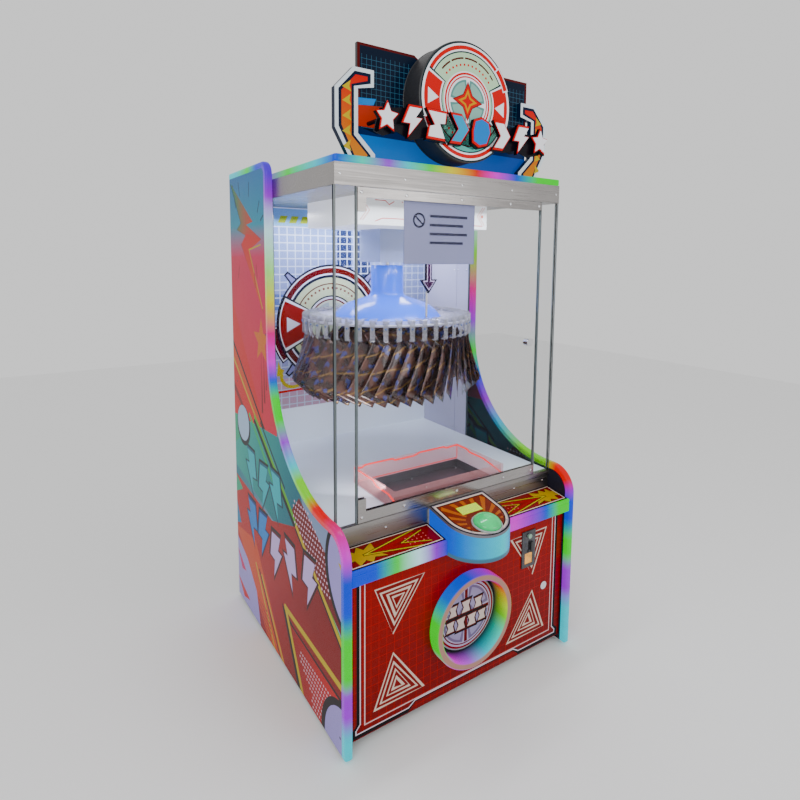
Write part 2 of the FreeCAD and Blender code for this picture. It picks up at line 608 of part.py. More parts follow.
tall = "console_rear_height + 60"
skirt_outer = common("skirt_outer", console_block("skirt_d", "0", "console_low", tall),
                     sloped_slab("skirt_cap", "-console_plate - 400", "400"))
skirt_hollow = common("skirt_hollow",
                      console_block("skirt_e", "console_wall", "console_low + console_wall", tall),
                      sloped_slab("skirt_under", "-console_plate - 399", "400"))
node("console_skirt", cut("skirt", skirt_outer, skirt_hollow, sill))
top_solid = common("top_solid", console_block("top_d", "0", "console_low", tall),
                   sloped_slab("top_slab", "-console_plate", "console_plate"))
button_bore = console_rod("button_bore", "dome_radius + running_gap", "-console_plate - 1",
                          "console_plate + 2", "button_reach")
window_cut = doc.addObject("Part::Box", "window_cut")
window_piece = doc.addObject("Part::Box", "window_piece")
for piece, grow, low, high in ((window_cut, "0", "-3", "6"), (window_piece, "0.3", "-3", "3.6")):
    piece.Placement = FreeCAD.Placement(FreeCAD.Vector(), FreeCAD.Rotation(FreeCAD.Vector(1, 0, 0), 10))
    rise = "(%s) * cos(console_slope)" % low
    bind(piece, Placement__Rotation__Angle="console_slope", Length="window_width - 2 * %s" % grow,
         Width="window_depth - 2 * %s" % grow, Height=high,
         Placement__Base__x="-window_width / 2 + %s" % grow,
         Placement__Base__y="front + window_recess - (window_depth / 2 - %s) * cos(console_slope)"
                            " - (%s) * sin(console_slope)" % (grow, low),
         Placement__Base__z="console_rear_height - (apron_recess - window_recess) * tan(console_slope)"
                            " - (window_depth / 2 - %s) * sin(console_slope) + %s" % (grow, rise))
node("console_top", cut("top_plate", top_solid, button_bore, window_cut, sill))
node("console_window", window_piece)
bezel_disc = console_rod("bezel_disc", "bezel_radius", "0", "bezel_height", "button_reach")
bezel_bore = console_rod("bezel_bore", "dome_radius + running_gap", "-1", "bezel_height + 2", "button_reach")
node("button_bezel", cut("bezel", bezel_disc, bezel_bore))
dome_low = console_rod("dome_low", "dome_radius", "-dome_stem", "dome_stem + bezel_height + 2",
                       "button_reach")
dome_mid = console_rod("dome_mid", "dome_radius * 0.86", "bezel_height", "dome_height * 0.55",
                       "button_reach")
dome_high = console_rod("dome_high", "dome_radius * 0.6", "bezel_height", "dome_height - bezel_height",
                        "button_reach")
node("button_dome", fuse("dome_cap", dome_low, dome_mid, dome_high))
switch_low = "-dome_stem - button_travel - switch_tall"
switch_body = console_rod("switch_body", "switch_radius", switch_low, "switch_tall - 0.5",
                          "button_reach")
switch_bar = sloped_slab("switch_bar", switch_low, "switch_bridge")
switch_web = common("switch_web",
                    console_block("web_d", "console_wall + web_gap", "console_low + console_wall", tall),
                    switch_bar)
switch_strip = box("switch_strip", ("-bridge_half", "bridge_half"),
                   ("front - console_width", "apron_face"), ("0", tall))
node("button_switch", fuse("switch", switch_body, common("switch_bridge", switch_web, switch_strip)))

# ---------------------------------------------------------------- front door

door_sheet = box("front_sheet", ("-door_half", "door_half"), ("door_face", "door_back"),
                 ("door_low", "door_high"))
outlet_hole = rod("outlet_hole", "y", "outlet_bore + outlet_sleeve + running_gap", "door_face - 1",
                  "board_thick + 2", z="outlet_height")
coin_hole = box("coin_hole",
                ("coin_offset - mech_half - running_gap", "coin_offset + mech_half + running_gap"),
                ("door_face - 1", "door_back + 1"),
                ("coin_height - mech_low - running_gap",
                 "coin_height + reject_lift + reject_radius + 3"))
lock_hole = rod("lock_hole", "y", "cylinder_radius + running_gap", "door_face - 1", "board_thick + 2",
                x="front_lock_offset", z="front_lock_height")
node("front_door", cut("door_board", door_sheet, outlet_hole, coin_hole, lock_hole))
front_hinge = rod("front_hinge", "z", "knuckle_radius", "door_low", "door_high - door_low",
                  x="front_axis_x", y="front_axis_y")
node("door_hinges", group("hinges", front_hinge, service_hinge))
node("front_lock", cam_lock("door_lock", "front_lock_offset", "front_lock_height", "door_face", 1,
                            "board_thick + 10", "door_half - front_lock_offset - 6", False))
ring_solid = fuse("ring_solid", rod("ring_front", "y", "outlet_radius", "door_face - outlet_proud",
                                    "outlet_proud", z="outlet_height"),
                  rod("ring_sleeve", "y", "outlet_bore + outlet_sleeve", "door_face - 1",
                      "board_thick + 4", z="outlet_height"))
ring_bore = rod("ring_bore", "y", "outlet_bore", "door_face - outlet_proud - 1",
                "outlet_proud + board_thick + 10", z="outlet_height")
lugs = [box("lug_" + tag, (low, high), ("flap_y - 2", "door_back + 3"),
            ("flap_axis - 1.5", "outlet_height + outlet_bore - 3"))
        for tag, low, high in (("left", "-flap_tab - lug_width", "-flap_tab - running_gap"),
                               ("right", "flap_tab + running_gap", "flap_tab + lug_width"))]
node("outlet_ring", fuse("ring", cut("ring_tube", ring_solid, ring_bore), *lugs))
flap_disc = rod("flap_disc", "y", "flap_radius", "flap_y", "flap_thick", z="outlet_height")
flap_tab = box("flap_tab", ("-flap_tab", "flap_tab"), ("flap_y", "flap_y + flap_thick"),
               ("outlet_height + flap_radius - 22", "flap_axis"))
flap_barrel = rod("flap_barrel", "x", "flap_thick / 2", "-flap_tab", "2 * flap_tab",
                  y="flap_y + flap_thick / 2", z="flap_axis")
node("outlet_flap", fuse("flap", flap_disc, flap_tab, flap_barrel))

coin_sheet = box("coin_sheet", ("coin_offset - coin_width / 2", "coin_offset + coin_width / 2"),
                 ("door_face - coin_proud", "door_face"),
                 ("coin_height - coin_tall / 2", "coin_height + coin_tall / 2"))
gate_x = ("coin_offset - coin_gate / 2", "coin_offset + coin_gate / 2")
plate_y = ("door_face - coin_proud - 1", "door_face + 1")
coin_slot = box("coin_slot", gate_x, plate_y, ("coin_height - 2", "coin_height - 4 + coin_pass"))
reject_hole = rod("reject_hole", "y", "reject_radius + running_gap", "door_face - coin_proud - 1",
                  "coin_proud + 2", x="coin_offset", z="coin_height + reject_lift")
return_hole = box("return_hole", ("coin_offset - cup_half", "coin_offset + cup_half"), plate_y,
                  ("coin_height - cup_low", "coin_height - cup_top"))
node("coin_plate", cut("coin_front", coin_sheet, coin_slot, reject_hole, return_hole))
node("reject_button", rod("reject", "y", "reject_radius", "door_face - coin_proud - 6",
                          "coin_proud + 8", x="coin_offset", z="coin_height + reject_lift"))
flap_sheet = box("flap_sheet", ("coin_offset - cup_half + 0.5", "coin_offset + cup_half - 0.5"),
                 ("return_axis_y - 1", "return_axis_y + 1"),
                 ("coin_height - cup_low + 0.5", "return_axis_z"))
flap_pin = rod("flap_pin", "x", "1.2", "coin_offset - cup_half + 0.5", "2 * cup_half - 1",
               y="return_axis_y", z="return_axis_z")
node("return_flap", fuse("coin_return", flap_sheet, flap_pin))
mech_block = box("mech_block", ("coin_offset - mech_half", "coin_offset + mech_half"),
                 ("door_face + 2", "door_face + 2 + mech_depth"),
                 ("coin_height - mech_low", "coin_height + mech_top"))
mech_slot = box("mech_slot", gate_x, ("door_face", "door_face + mech_depth - 14"),
                ("coin_height - 4", "coin_height - 2 + coin_pass"))
mech_cup = box("mech_cup", ("coin_offset - cup_half", "coin_offset + cup_half"),
               ("door_face", "door_face + 30"), ("coin_height - cup_low - 1", "coin_height - cup_top + 2"))
mech_notch = rod("mech_notch", "y", "reject_radius + 0.5", "door_face + 1", "reject_travel + 2",
                 x="coin_offset", z="coin_height + reject_lift")
node("coin_mech", cut("mech", mech_block, mech_slot, mech_cup, mech_notch))
cash_x = ("coin_offset - cash_width / 2", "coin_offset + cash_width / 2")
cash_y = ("front + cash_recess", "front + cash_recess + cash_depth")
cash_block = box("cash_block", cash_x, cash_y, ("base_top", "base_top + cash_tall"))
cash_well = box("cash_well", (cash_x[0] + " + sheet_thick", cash_x[1] + " - sheet_thick"),
                (cash_y[0] + " + sheet_thick", cash_y[1] + " - sheet_thick"),
                ("base_top + sheet_thick", "base_top + cash_tall + 1"))
node("cash_box", cut("cash", cash_block, cash_well))

# ---------------------------------------------------------------- carousel

housing_outer = box("housing_outer", ("-housing_half", "housing_half"),
                    ("axis_y - housing_half", "axis_y + housing_half"), ("housing_low", "light_low"))
housing_inner = box("housing_inner", ("-housing_half + light_wall", "housing_half - light_wall"),
                    ("axis_y - housing_half + light_wall", "axis_y + housing_half - light_wall"),
                    ("housing_low - 1", "light_low + 1"))
node("spindle_housing", cut("housing", housing_outer, housing_inner))
motor = box("motor_block", ("-motor_half", "motor_half"), ("axis_y - motor_half", "axis_y + motor_half"),
            ("light_low - motor_drop", "light_low"))
motor_bore = rod("motor_bore", "z", "shaft_radius + 0.05", "light_low - motor_drop - 1", "60", y="axis_y")
node("gear_motor", cut("motor", motor, motor_bore))

node("carousel_cover", turned("dome_turned", [
    ("shaft_radius", "neck_top - 6"), ("neck_radius", "neck_top - 6"), ("neck_radius", "dome_top"),
    ("dome_shoulder_radius", "dome_shoulder"), ("dome_rim_radius", "ring_top"),
    ("dome_rim_radius - dome_wall", "ring_top"),
    ("dome_shoulder_radius - dome_wall", "dome_shoulder - dome_wall"),
    ("neck_radius - dome_wall", "dome_top - dome_wall"),
    ("neck_radius - dome_wall", "neck_top - 6 - dome_wall"), ("shaft_radius", "neck_top - 6 - dome_wall"),
], y="axis_y"))
node("carousel_shaft", turned("shaft_turned", [
    ("0", "ring_top - ring_thick - 6"), ("30", "ring_top - ring_thick - 6"),
    ("30", "ring_top - ring_thick"), ("shaft_radius", "ring_top - ring_thick"),
    ("shaft_radius", "light_low - 24"), ("0", "light_low - 24"),
], y="axis_y"))
node("clip_ring", turned("ring_turned", [
    ("shaft_radius", "ring_top - ring_thick"), ("ring_radius", "ring_top - ring_thick"),
    ("ring_radius", "ring_top"), ("shaft_radius", "ring_top"),
], y="axis_y"))


def block(x, y, z):
    """A plain block shape between low and high values along each axis."""
    return Part.makeBox(x[1] - x[0], y[1] - y[0], z[1] - z[0], FreeCAD.Vector(x[0], y[0], z[0]))


def around(name, shape, first):
    """Copies of a front shape evenly round the carousel's axis, from the first place on."""
    feature = doc.addObject("Part::Feature", name)
    centre = FreeCAD.Vector(0, cell("axis_y"), 0)
    copies = []
    for index in range(first, int(cell("clip_count"))):
        copy = shape.copy()
        copy.rotate(centre, FreeCAD.Vector(0, 0, 1), index * 360.0 / cell("clip_count"))
        copies.append(copy)
    feature.Shape = Part.makeCompound(copies)
    return feature


def clip_seat():
    """A seat screwed to the ring's top, with two ears that hold the jaw's pivot."""
    half_width, pivot_y, pivot_z = cell("clip_width") / 2, cell("clip_pivot_y"), cell("clip_pivot_z")
    ear_low = cell("jaw_width") / 2 + cell("running_gap")
    reach, low = cell("pivot_barrel") + 2, cell("ring_top")
    y = (pivot_y - reach, pivot_y + reach)
    shape = block((-half_width, half_width), y, (low, pivot_z - cell("pivot_barrel") - 1))
    for side in (-1, 1):
        x = sorted((side * ear_low, side * half_width))
        shape = shape.fuse(block(x, y, (low, pivot_z + cell("pivot_barrel"))))
    return shape.removeSplitter()


def clip_jaw():
    """A sprung lever over the seat, with a finger past the ring's edge and a toe below it."""
    half_width, thick = cell("jaw_width") / 2, cell("jaw_thick")
    pivot_y, pivot_z = cell("clip_pivot_y"), cell("clip_pivot_z")
    x = (-half_width, half_width)
    finger_in = cell("axis_y") - cell("ring_radius") - 2 * cell("running_gap")
    finger_out = finger_in - thick
    low = pivot_z - cell("jaw_drop")
    lever = block(x, (finger_out, pivot_y + cell("jaw_lever")), (pivot_z - thick / 2, pivot_z + thick / 2))
    finger = block(x, (finger_out, finger_in), (low, pivot_z + thick / 2))
    toe = block(x, (finger_out, finger_out + cell("jaw_toe")), (low, low + thick))
    barrel = Part.makeCylinder(cell("pivot_barrel"), 2 * half_width,
                               FreeCAD.Vector(-half_width, pivot_y, pivot_z), FreeCAD.Vector(1, 0, 0))
    return lever.fuse([finger, toe, barrel]).removeSplitter()


def prize_packet():
    """A flat wrapped prize hung by one corner below the toe, its face turned like a louvre."""
    wide, tall, thick = cell("packet_width"), cell("packet_tall"), cell("packet_thick")
    shape = block((0, wide), (-thick / 2, thick / 2), (-tall, 0))
    shape.rotate(FreeCAD.Vector(), FreeCAD.Vector(0, 1, 0), cell("packet_swing"))
    shape.rotate(FreeCAD.Vector(), FreeCAD.Vector(0, 0, 1), cell("packet_turn"))
    toe_low = cell("clip_pivot_z") - cell("jaw_drop")
    hung_at = cell("ring_radius") - cell("packet_inset")
    shape.translate(FreeCAD.Vector(0, cell("axis_y") - hung_at, toe_low - cell("running_gap")))
    return shape


seats = around("clip_seats", clip_seat(), 0)
jaws = around("rear_jaws", clip_jaw(), 1)
node("prize_clips", group("clips", seats, jaws))
front_jaw = doc.addObject("Part::Feature", "single_jaw")
front_jaw.Shape = clip_jaw()
node("front_jaw", front_jaw)
node("prize_packets", around("packets", prize_packet(), 0))

# ---------------------------------------------------------------- pointer and plunger

head = "pointer_tip + pointer_width * 0.7"
node("pointer", plate("pointer_arrow", "XZ_Plane", [
    ("0", "pointer_tip"), ("pointer_width / 2", head), ("12", head), ("12", "light_low"),
    ("-12", "light_low"), ("-12", head), ("-pointer_width / 2", head),
], "pointer_thick", "-(front + pointer_recess)"))
node("plunger", rod("plunger_pin", "z", "plunger_radius", "plunger_tip",
                    "light_low - coil_drop + plunger_overlap + 4 - plunger_tip", y="plunger_y"))
coil = box("coil", ("-coil_half", "coil_half"), ("plunger_y - plunger_radius - 1.6", "plunger_y + 22"),
           ("light_low - coil_drop", "light_low"))
coil_bore = rod("coil_bore", "z", "plunger_radius + 0.1", "light_low - coil_drop - 1",
                "coil_drop - 2", y="plunger_y")
node("plunger_coil", cut("coil_bored", coil, coil_bore))

# ---------------------------------------------------------------- services

node("power_supply", box("supply", ("120", "120 + supply_width"),
                         ("rear - 105 - supply_depth", "rear - 105"),
                         ("base_top", "base_top + supply_tall")))
node("main_board", box("controller", ("-130 - board_wide", "-130"),
                       ("rear - 110 - board_deep", "rear - 110"), ("base_top", "base_top + board_tall")))
node("speaker", rod("speaker_cone", "y", "speaker_radius", "door_back + 40", "speaker_depth",
                    x="-300", z="base_top + speaker_radius"))


def check_and_export():
    """Stop on any failed object or bad shape, then write one STEP file for each sub-part."""
    doc.recompute()
    for obj in doc.Objects:
        if "Invalid" in obj.State or "Error" in obj.State:
            sys.exit("%s failed: %s" % (obj.Label, obj.State))
    for name, obj in NODES.items():
        if obj.Shape.isNull() or not obj.Shape.isValid() or not obj.Shape.Solids:
            sys.exit("%s has no valid solid" % name)
    os.makedirs("parts", exist_ok=True)
    for name, obj in NODES.items():
        obj.Shape.exportStep("parts/%s.step" % name)
        bounds = obj.Shape.BoundBox
        print("%-18s %2d solids  x %7.1f %7.1f  y %7.1f %7.1f  z %7.1f %7.1f" % (
            name, len(obj.Shape.Solids), bounds.XMin, bounds.XMax, bounds.YMin, bounds.YMax,
            bounds.ZMin, bounds.ZMax))
    print(len(NODES), "sub-parts")


check_and_export()
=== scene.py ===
# %% [markdown]
# # A prize-drop carousel machine
#
# The machine is a cabinet between two shaped side panels with lit edges. A ring of clipped prize
# packets turns behind glass, a plunger opens the clip below the pointer, and the packet falls
# through the hopper to the round outlet in the front door. The frame below comes from the
# mechanical model: every piece made here sits on one of its bodies and moves with it.

# %% Load the frame and measure it
import math

import bpy
import numpy as np
from mathutils import Matrix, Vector
from mathutils.geometry import delaunay_2d_cdt


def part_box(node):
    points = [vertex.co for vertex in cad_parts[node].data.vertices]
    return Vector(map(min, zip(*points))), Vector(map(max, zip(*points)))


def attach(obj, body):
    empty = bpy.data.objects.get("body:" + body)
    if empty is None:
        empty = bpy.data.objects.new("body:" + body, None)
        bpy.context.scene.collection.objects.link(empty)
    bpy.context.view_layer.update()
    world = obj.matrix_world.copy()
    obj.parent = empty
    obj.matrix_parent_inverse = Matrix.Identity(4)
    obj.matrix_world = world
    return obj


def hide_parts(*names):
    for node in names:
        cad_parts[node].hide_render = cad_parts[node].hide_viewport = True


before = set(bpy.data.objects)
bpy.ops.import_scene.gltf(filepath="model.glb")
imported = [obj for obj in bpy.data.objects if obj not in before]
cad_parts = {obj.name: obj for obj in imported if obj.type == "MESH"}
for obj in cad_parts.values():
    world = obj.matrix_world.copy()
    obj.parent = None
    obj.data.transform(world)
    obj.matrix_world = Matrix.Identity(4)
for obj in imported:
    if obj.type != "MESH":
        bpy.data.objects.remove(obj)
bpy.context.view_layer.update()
MM = 0.001

# %% [markdown]
# ## Camera
#
# The machine is seen from its left front corner, from about eye height. The numbers say where the
# eye stands and which way it looks; the small shift only settles the framing.

# %% Camera
EYE = np.array([-1.0912, -1.6772, 1.3845])
YAW, PITCH, ROLL = (math.radians(a) for a in (33.961, -6.076, 0.508))


def look_axes(yaw, pitch, roll):
    """Right, up and backward axes of an eye that turns by yaw, tips by pitch and leans by roll."""
    ahead = np.array([math.sin(yaw) * math.cos(pitch), math.cos(yaw) * math.cos(pitch), math.sin(pitch)])
    level = np.array([math.cos(yaw), -math.sin(yaw), 0.0])
    top = np.cross(level, ahead)
    right = math.cos(roll) * level + math.sin(roll) * top
    up = -math.sin(roll) * level + math.cos(roll) * top
    return right, up, -ahead


lens = bpy.data.cameras.new("eye")
lens.sensor_width, lens.lens = 36.0, 25.38
lens.shift_x, lens.shift_y = -0.0145, -0.104
lens.clip_start = 0.05
eye = bpy.data.objects.new("eye", lens)
bpy.context.scene.collection.objects.link(eye)
turn = np.eye(4)
turn[:3, :3] = np.array(look_axes(YAW, PITCH, ROLL)).T
turn[:3, 3] = EYE
eye.matrix_world = Matrix(turn.tolist())
bpy.context.scene.camera = eye
print("eye at", EYE)

# %% [markdown]
# ## Floor and light
#
# A pale studio: a plain floor, a nearly white surround, one large soft lamp at the upper left and
# one in front. Three small lamps inside the case stand for the tubes that light it.

# %% Floor and lamps
def studio_floor():
    """A flat square, 12 m on a side, at ground level."""
    mesh = bpy.data.meshes.new("studio_floor")
    mesh.from_pydata([(-6, -6, 0), (6, -6, 0), (6, 6, 0), (-6, 6, 0)], [], [(0, 1, 2, 3)])
    ground = bpy.data.objects.new("studio_floor", mesh)
    bpy.context.scene.collection.objects.link(ground)
    pale = bpy.data.materials.new("pale_floor")
    pale.use_nodes = True
    shader = pale.node_tree.nodes["Principled BSDF"]
    shader.inputs["Base Color"].default_value = (0.9, 0.9, 0.9, 1)
    shader.inputs["Roughness"].default_value = 0.7
    mesh.materials.append(pale)


def lamp(name, place, target, size, power, tint=(1, 1, 1)):
    """An area lamp at a place, facing a target; size is (across, tall) in metres."""
    light = bpy.data.lights.new(name, "AREA")
    light.shape, light.size, light.size_y = "RECTANGLE", size[0], size[1]
    light.energy, light.color = power, tint
    holder = bpy.data.objects.new(name, light)
    bpy.context.scene.collection.objects.link(holder)
    back = np.array(place, float) - np.array(target, float)
    back /= np.linalg.norm(back)
    side = np.cross([0.0, 1.0, 0.0] if abs(back[2]) > 0.9 else [0.0, 0.0, 1.0], back)
    side /= np.linalg.norm(side)
    pose = np.eye(4)
    pose[:3, 0], pose[:3, 1], pose[:3, 2], pose[:3, 3] = side, np.cross(back, side), back, place
    holder.matrix_world = Matrix(pose.tolist())
    return holder


studio_floor()
world = bpy.data.worlds.new("surround")
world.use_nodes = True
world.node_tree.nodes["Background"].inputs["Color"].default_value = (1.0, 1.0, 1.0, 1)
world.node_tree.nodes["Background"].inputs["Strength"].default_value = 0.95
bpy.context.scene.world = world
lamp("key_lamp", (-2.6, -2.2, 2.6), (0, 0, 1.0), (1.6, 1.6), 34)
lamp("front_lamp", (1.2, -3.2, 1.5), (0, 0, 0.9), (1.8, 1.4), 24)
lamp("case_lamp_front", (0.0, -0.23, 1.535), (0.0, -0.15, 0.7), (0.7, 0.1), 5.0, (0.93, 0.96, 1.0))
lamp("case_lamp_rear", (0.0, 0.34, 1.535), (0.0, 0.30, 0.7), (0.7, 0.12), 6.5, (0.93, 0.96, 1.0))
lamp("case_lamp_low", (-0.30, -0.20, 0.70), (0.0, 0.15, 1.05), (0.2, 0.1), 1.2, (0.95, 0.97, 1.0))
print("lamps:", len(bpy.data.lights))

# %% [markdown]
# ## Finishes
#
# Real surfaces are never one flat colour. Each finish below mixes two noises that stay fixed in
# the object: a broad one for cloudy shade, and a fine one for gloss and tiny bumps. Stretching
# the fine noise along one axis gives the lines of brushed metal.

# %% A finish
def shader_start(name):
    """A new material with its shader, its node maker and the object's own coordinates."""
    material = bpy.data.materials.new(name)
    material.use_nodes = True
    tree = material.node_tree
    shader = tree.nodes["Principled BSDF"]
    place = tree.nodes.new("ShaderNodeTexCoord").outputs["Object"]
    return material, tree, shader, place


def noise_of(tree, place, scale, stretch=(1, 1, 1), detail=4.0):
    """Noise from 0 to 1 over the object, finer with scale and pulled long where stretch is low."""
    mapping = tree.nodes.new("ShaderNodeMapping")
    mapping.inputs["Scale"].default_value = stretch
    tree.links.new(place, mapping.inputs["Vector"])
    noise = tree.nodes.new("ShaderNodeTexNoise")
    noise.inputs["Scale"].default_value = scale
    noise.inputs["Detail"].default_value = detail
    tree.links.new(mapping.outputs["Vector"], noise.inputs["Vector"])
    return noise.outputs["Fac"]


def spread(tree, value, low, high, start=0.3, end=0.7):
    """The value between start and end carried to the range from low to high."""
    ranger = tree.nodes.new("ShaderNodeMapRange")
    for socket, number in zip(("From Min", "From Max", "To Min", "To Max"), (start, end, low, high)):
        ranger.inputs[socket].default_value = number
    tree.links.new(value, ranger.inputs["Value"])
    return ranger.outputs["Result"]


def blended(tree, factor, first, second, mode="MIX"):
    """Two colours mixed by a factor; each is four numbers or a socket."""
    mix = tree.nodes.new("ShaderNodeMix")
    mix.data_type, mix.blend_type = "RGBA", mode
    for socket, value in ((mix.inputs[0], factor), (mix.inputs[6], first), (mix.inputs[7], second)):
        if isinstance(value, (float, int, tuple)):
            socket.default_value = value
        else:
            tree.links.new(value, socket)
    return mix.outputs[2]


def finish(name, colour, gloss=(0.3, 0.45), metal=0.0, cloud=7.0, vary=0.08, grain=420.0,
           stretch=(1, 1, 1), bump=0.02, coat=0.0, glow=0.0, layer=None, clear=1.0, specular=0.5,
           body_share=1.0):
    """A surface of one colour, or of the colours kept in a mesh attribute named by layer."""
    material, tree, shader, place = shader_start(name)
    broad = noise_of(tree, place, cloud)
    fine = noise_of(tree, place, grain, stretch, 3.0)
    if layer:
        attribute = tree.nodes.new("ShaderNodeAttribute")
        attribute.attribute_name = layer
        base = attribute.outputs["Color"]
    else:
        base = tuple(colour) + (1.0,)
    shade = tree.nodes.new("ShaderNodeCombineColor")
    level = spread(tree, broad, 1 - vary, 1.0)
    for channel in shade.inputs:
        tree.links.new(level, channel)
    shaded = blended(tree, 1.0, base, shade.outputs["Color"], "MULTIPLY")
    share = (body_share, body_share, body_share, 1.0)
    tree.links.new(blended(tree, 1.0, shaded, share, "MULTIPLY"), shader.inputs["Base Color"])
    tree.links.new(spread(tree, fine, gloss[0], gloss[1]), shader.inputs["Roughness"])
    shader.inputs["Metallic"].default_value = metal
    shader.inputs["Coat Weight"].default_value = coat
    shader.inputs["Alpha"].default_value = clear
    shader.inputs["Specular IOR Level"].default_value = specular
    if glow:
        tree.links.new(shaded, shader.inputs["Emission Color"])
        shader.inputs["Emission Strength"].default_value = glow
    if bump:
        bumper = tree.nodes.new("ShaderNodeBump")
        bumper.inputs["Strength"].default_value = 0.35
        bumper.inputs["Distance"].default_value = bump * MM
        tree.links.new(fine, bumper.inputs["Height"])
        tree.links.new(bumper.outputs["Normal"], shader.inputs["Normal"])
    return material


FINISHES = {
    "base_wood": finish("base_wood", (0.42, 0.28, 0.16), (0.6, 0.8), vary=0.3, cloud=5, grain=90,
                        stretch=(0.1, 1, 1)),
    "steel_feet": finish("steel_feet", (0.55, 0.55, 0.57), (0.3, 0.5), 1.0),
    "black_board": finish("black_board", (0.03, 0.03, 0.035), (0.45, 0.65), grain=700, bump=0.08),
    "lock_metal": finish("lock_metal", (0.72, 0.72, 0.74), (0.12, 0.28), 1.0, grain=900),
    "black_plastic": finish("black_plastic", (0.02, 0.02, 0.023), (0.4, 0.6), grain=900, bump=0.06),
    "brushed_header": finish("brushed_header", (0.36, 0.34, 0.33), (0.22, 0.45), 1.0, vary=0.25, cloud=2.5,
                             grain=260, stretch=(0.02, 1, 1), bump=0.03),
    "light_panel": finish("light_panel", (0.90, 0.93, 1.0), (0.3, 0.4), vary=0.03, glow=0.7, body_share=0.6),
    "clear_glass": finish("clear_glass", (0.03, 0.05, 0.05), (0.0, 0.02), vary=0.3, bump=0.0, clear=0.045),
    "glass_edge": finish("glass_edge", (0.10, 0.13, 0.14), (0.08, 0.2), 0.0, vary=0.4, cloud=4, coat=0.4),
    "polished_rail": finish("polished_rail", (0.36, 0.34, 0.33), (0.14, 0.3), 1.0, vary=0.2, grain=300,
                            stretch=(0.03, 1, 1)),
    # The back wall and play floor board glows faintly: painted light for the bright light inside the case,
    # though the board is no lamp.
    "white_board": finish("white_board", (0.66, 0.74, 0.88), (0.25, 0.4), vary=0.04, coat=0.3, glow=0.22),
    "liner_board": finish("liner_board", (0.46, 0.45, 0.62), (0.2, 0.35), vary=0.06, coat=0.3),
    "tray_steel": finish("tray_steel", (0.20, 0.19, 0.22), (0.3, 0.5), 0.6, vary=0.2, grain=500),
    # The fence board's red tint and faint glow are painted light: they stand for the red light of its lit
    # edge spreading through the clear board.
    "frosted_acrylic": finish("frosted_acrylic", (0.80, 0.34, 0.36), (0.25, 0.45), vary=0.3, cloud=9,
                              clear=0.30, glow=0.12),
    "bezel_plastic": finish("bezel_plastic", (0.30, 0.34, 0.34), (0.25, 0.4), grain=800),
    "coin_metal": finish("coin_metal", (0.10, 0.10, 0.11), (0.2, 0.42), 0.7, vary=0.5, cloud=40, grain=500),
    "coin_button": finish("coin_button", (0.25, 0.42, 0.30), (0.2, 0.35), vary=0.2),
    "coin_amber": finish("coin_amber", (1.0, 0.42, 0.05), (0.2, 0.35), vary=0.4, cloud=60, glow=0.7,
                         body_share=0.6),
    "housing_acrylic": finish("housing_acrylic", (0.42, 0.50, 0.78), (0.12, 0.25), vary=0.1, clear=0.55),
    "motor_grey": finish("motor_grey", (0.35, 0.36, 0.38), (0.35, 0.5), 0.5),
    # The dome finish glows: painted light that makes the blue shell look brightly lit, though the shell is no
    # lamp.
    "dome_blue": finish("dome_blue", (0.02, 0.13, 0.95), (0.16, 0.28), vary=0.3, cloud=3, coat=0.1, glow=0.55,
                        specular=0.35),
    "shaft_steel": finish("shaft_steel", (0.7, 0.7, 0.72), (0.15, 0.3), 1.0),
    "ring_white": finish("ring_white", (0.50, 0.50, 0.66), (0.15, 0.3), vary=0.1, clear=0.8),
    "clip_clear": finish("clip_clear", (0.50, 0.50, 0.60), (0.05, 0.15), vary=0.4, cloud=80, clear=0.40,
                         coat=0.5),
    "supply_metal": finish("supply_metal", (0.55, 0.56, 0.57), (0.3, 0.5), 0.9, grain=300,
                           stretch=(1, 0.1, 1)),
    "board_green": finish("board_green", (0.04, 0.22, 0.09), (0.3, 0.5), vary=0.4, cloud=120, grain=600),
    "print_film": finish("print_film", None, (0.24, 0.38), vary=0.07, layer="ink", grain=600, bump=0.03,
                         specular=0.1),
    "lit_print": finish("lit_print", None, (0.18, 0.32), vary=0.05, layer="ink", glow=0.8, grain=600,
                        body_share=0.5, specular=0.12),
    "glow_strip": finish("glow_strip", None, (0.22, 0.34), vary=0.08, cloud=30, layer="ink", glow=1.3,
                         grain=500, body_share=0.3, specular=0.15),
}
print("finishes:", len(FINISHES))

# %% [markdown]
# ## From numbers to pieces
#
# Each piece is a set of points and faces. Points are kept in millimetres while a shape is worked
# out, and turned to metres once, here. A colour kept on every face corner lets one finish print
# or light a whole surface.

# %% Making a piece
def make_piece(name, points, faces, material, body, colours=None, smooth=False, slot=None, stands_for=()):
    """A mesh object from points in millimetres and faces as index lists, riding on a body."""
    mesh = bpy.data.meshes.new(name)
    points = np.asarray(points, float)
    faces = [list(map(int, face)) for face in faces]
    mesh.from_pydata((points * MM).tolist(), [], faces)
    if colours is not None:
        layer = mesh.color_attributes.new("ink", "FLOAT_COLOR", "CORNER")
        colours = np.asarray(colours, float)
        if len(colours) == len(points):
            corner = np.zeros(len(mesh.loops), int)
            mesh.loops.foreach_get("vertex_index", corner)
            colours = colours[corner]
        layer.data.foreach_set("color", np.hstack([colours, np.ones((len(colours), 1))]).ravel())
    mesh.polygons.foreach_set("use_smooth", np.full(len(mesh.polygons), smooth))
    mesh.materials.append(material)
    piece = bpy.data.objects.new(name, mesh)
    bpy.context.scene.collection.objects.link(piece)
    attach(piece, body)
    if stands_for:
        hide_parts(*stands_for)
    return piece


def lattice(rows, columns, close_rows=False, close_columns=False, start=0):
    """Quads over a grid of rows by columns of points, joined round where a direction closes."""
    i = np.arange(rows if close_rows else rows - 1)[:, None]
    j = np.arange(columns if close_columns else columns - 1)[None, :]
    i2, j2 = (i + 1) % rows, (j + 1) % columns
    corners = [i * columns + j, i2 * columns + j, i2 * columns + j2, i * columns + j2]
    return (np.stack(np.broadcast_arrays(*corners), -1).reshape(-1, 4) + start).tolist()


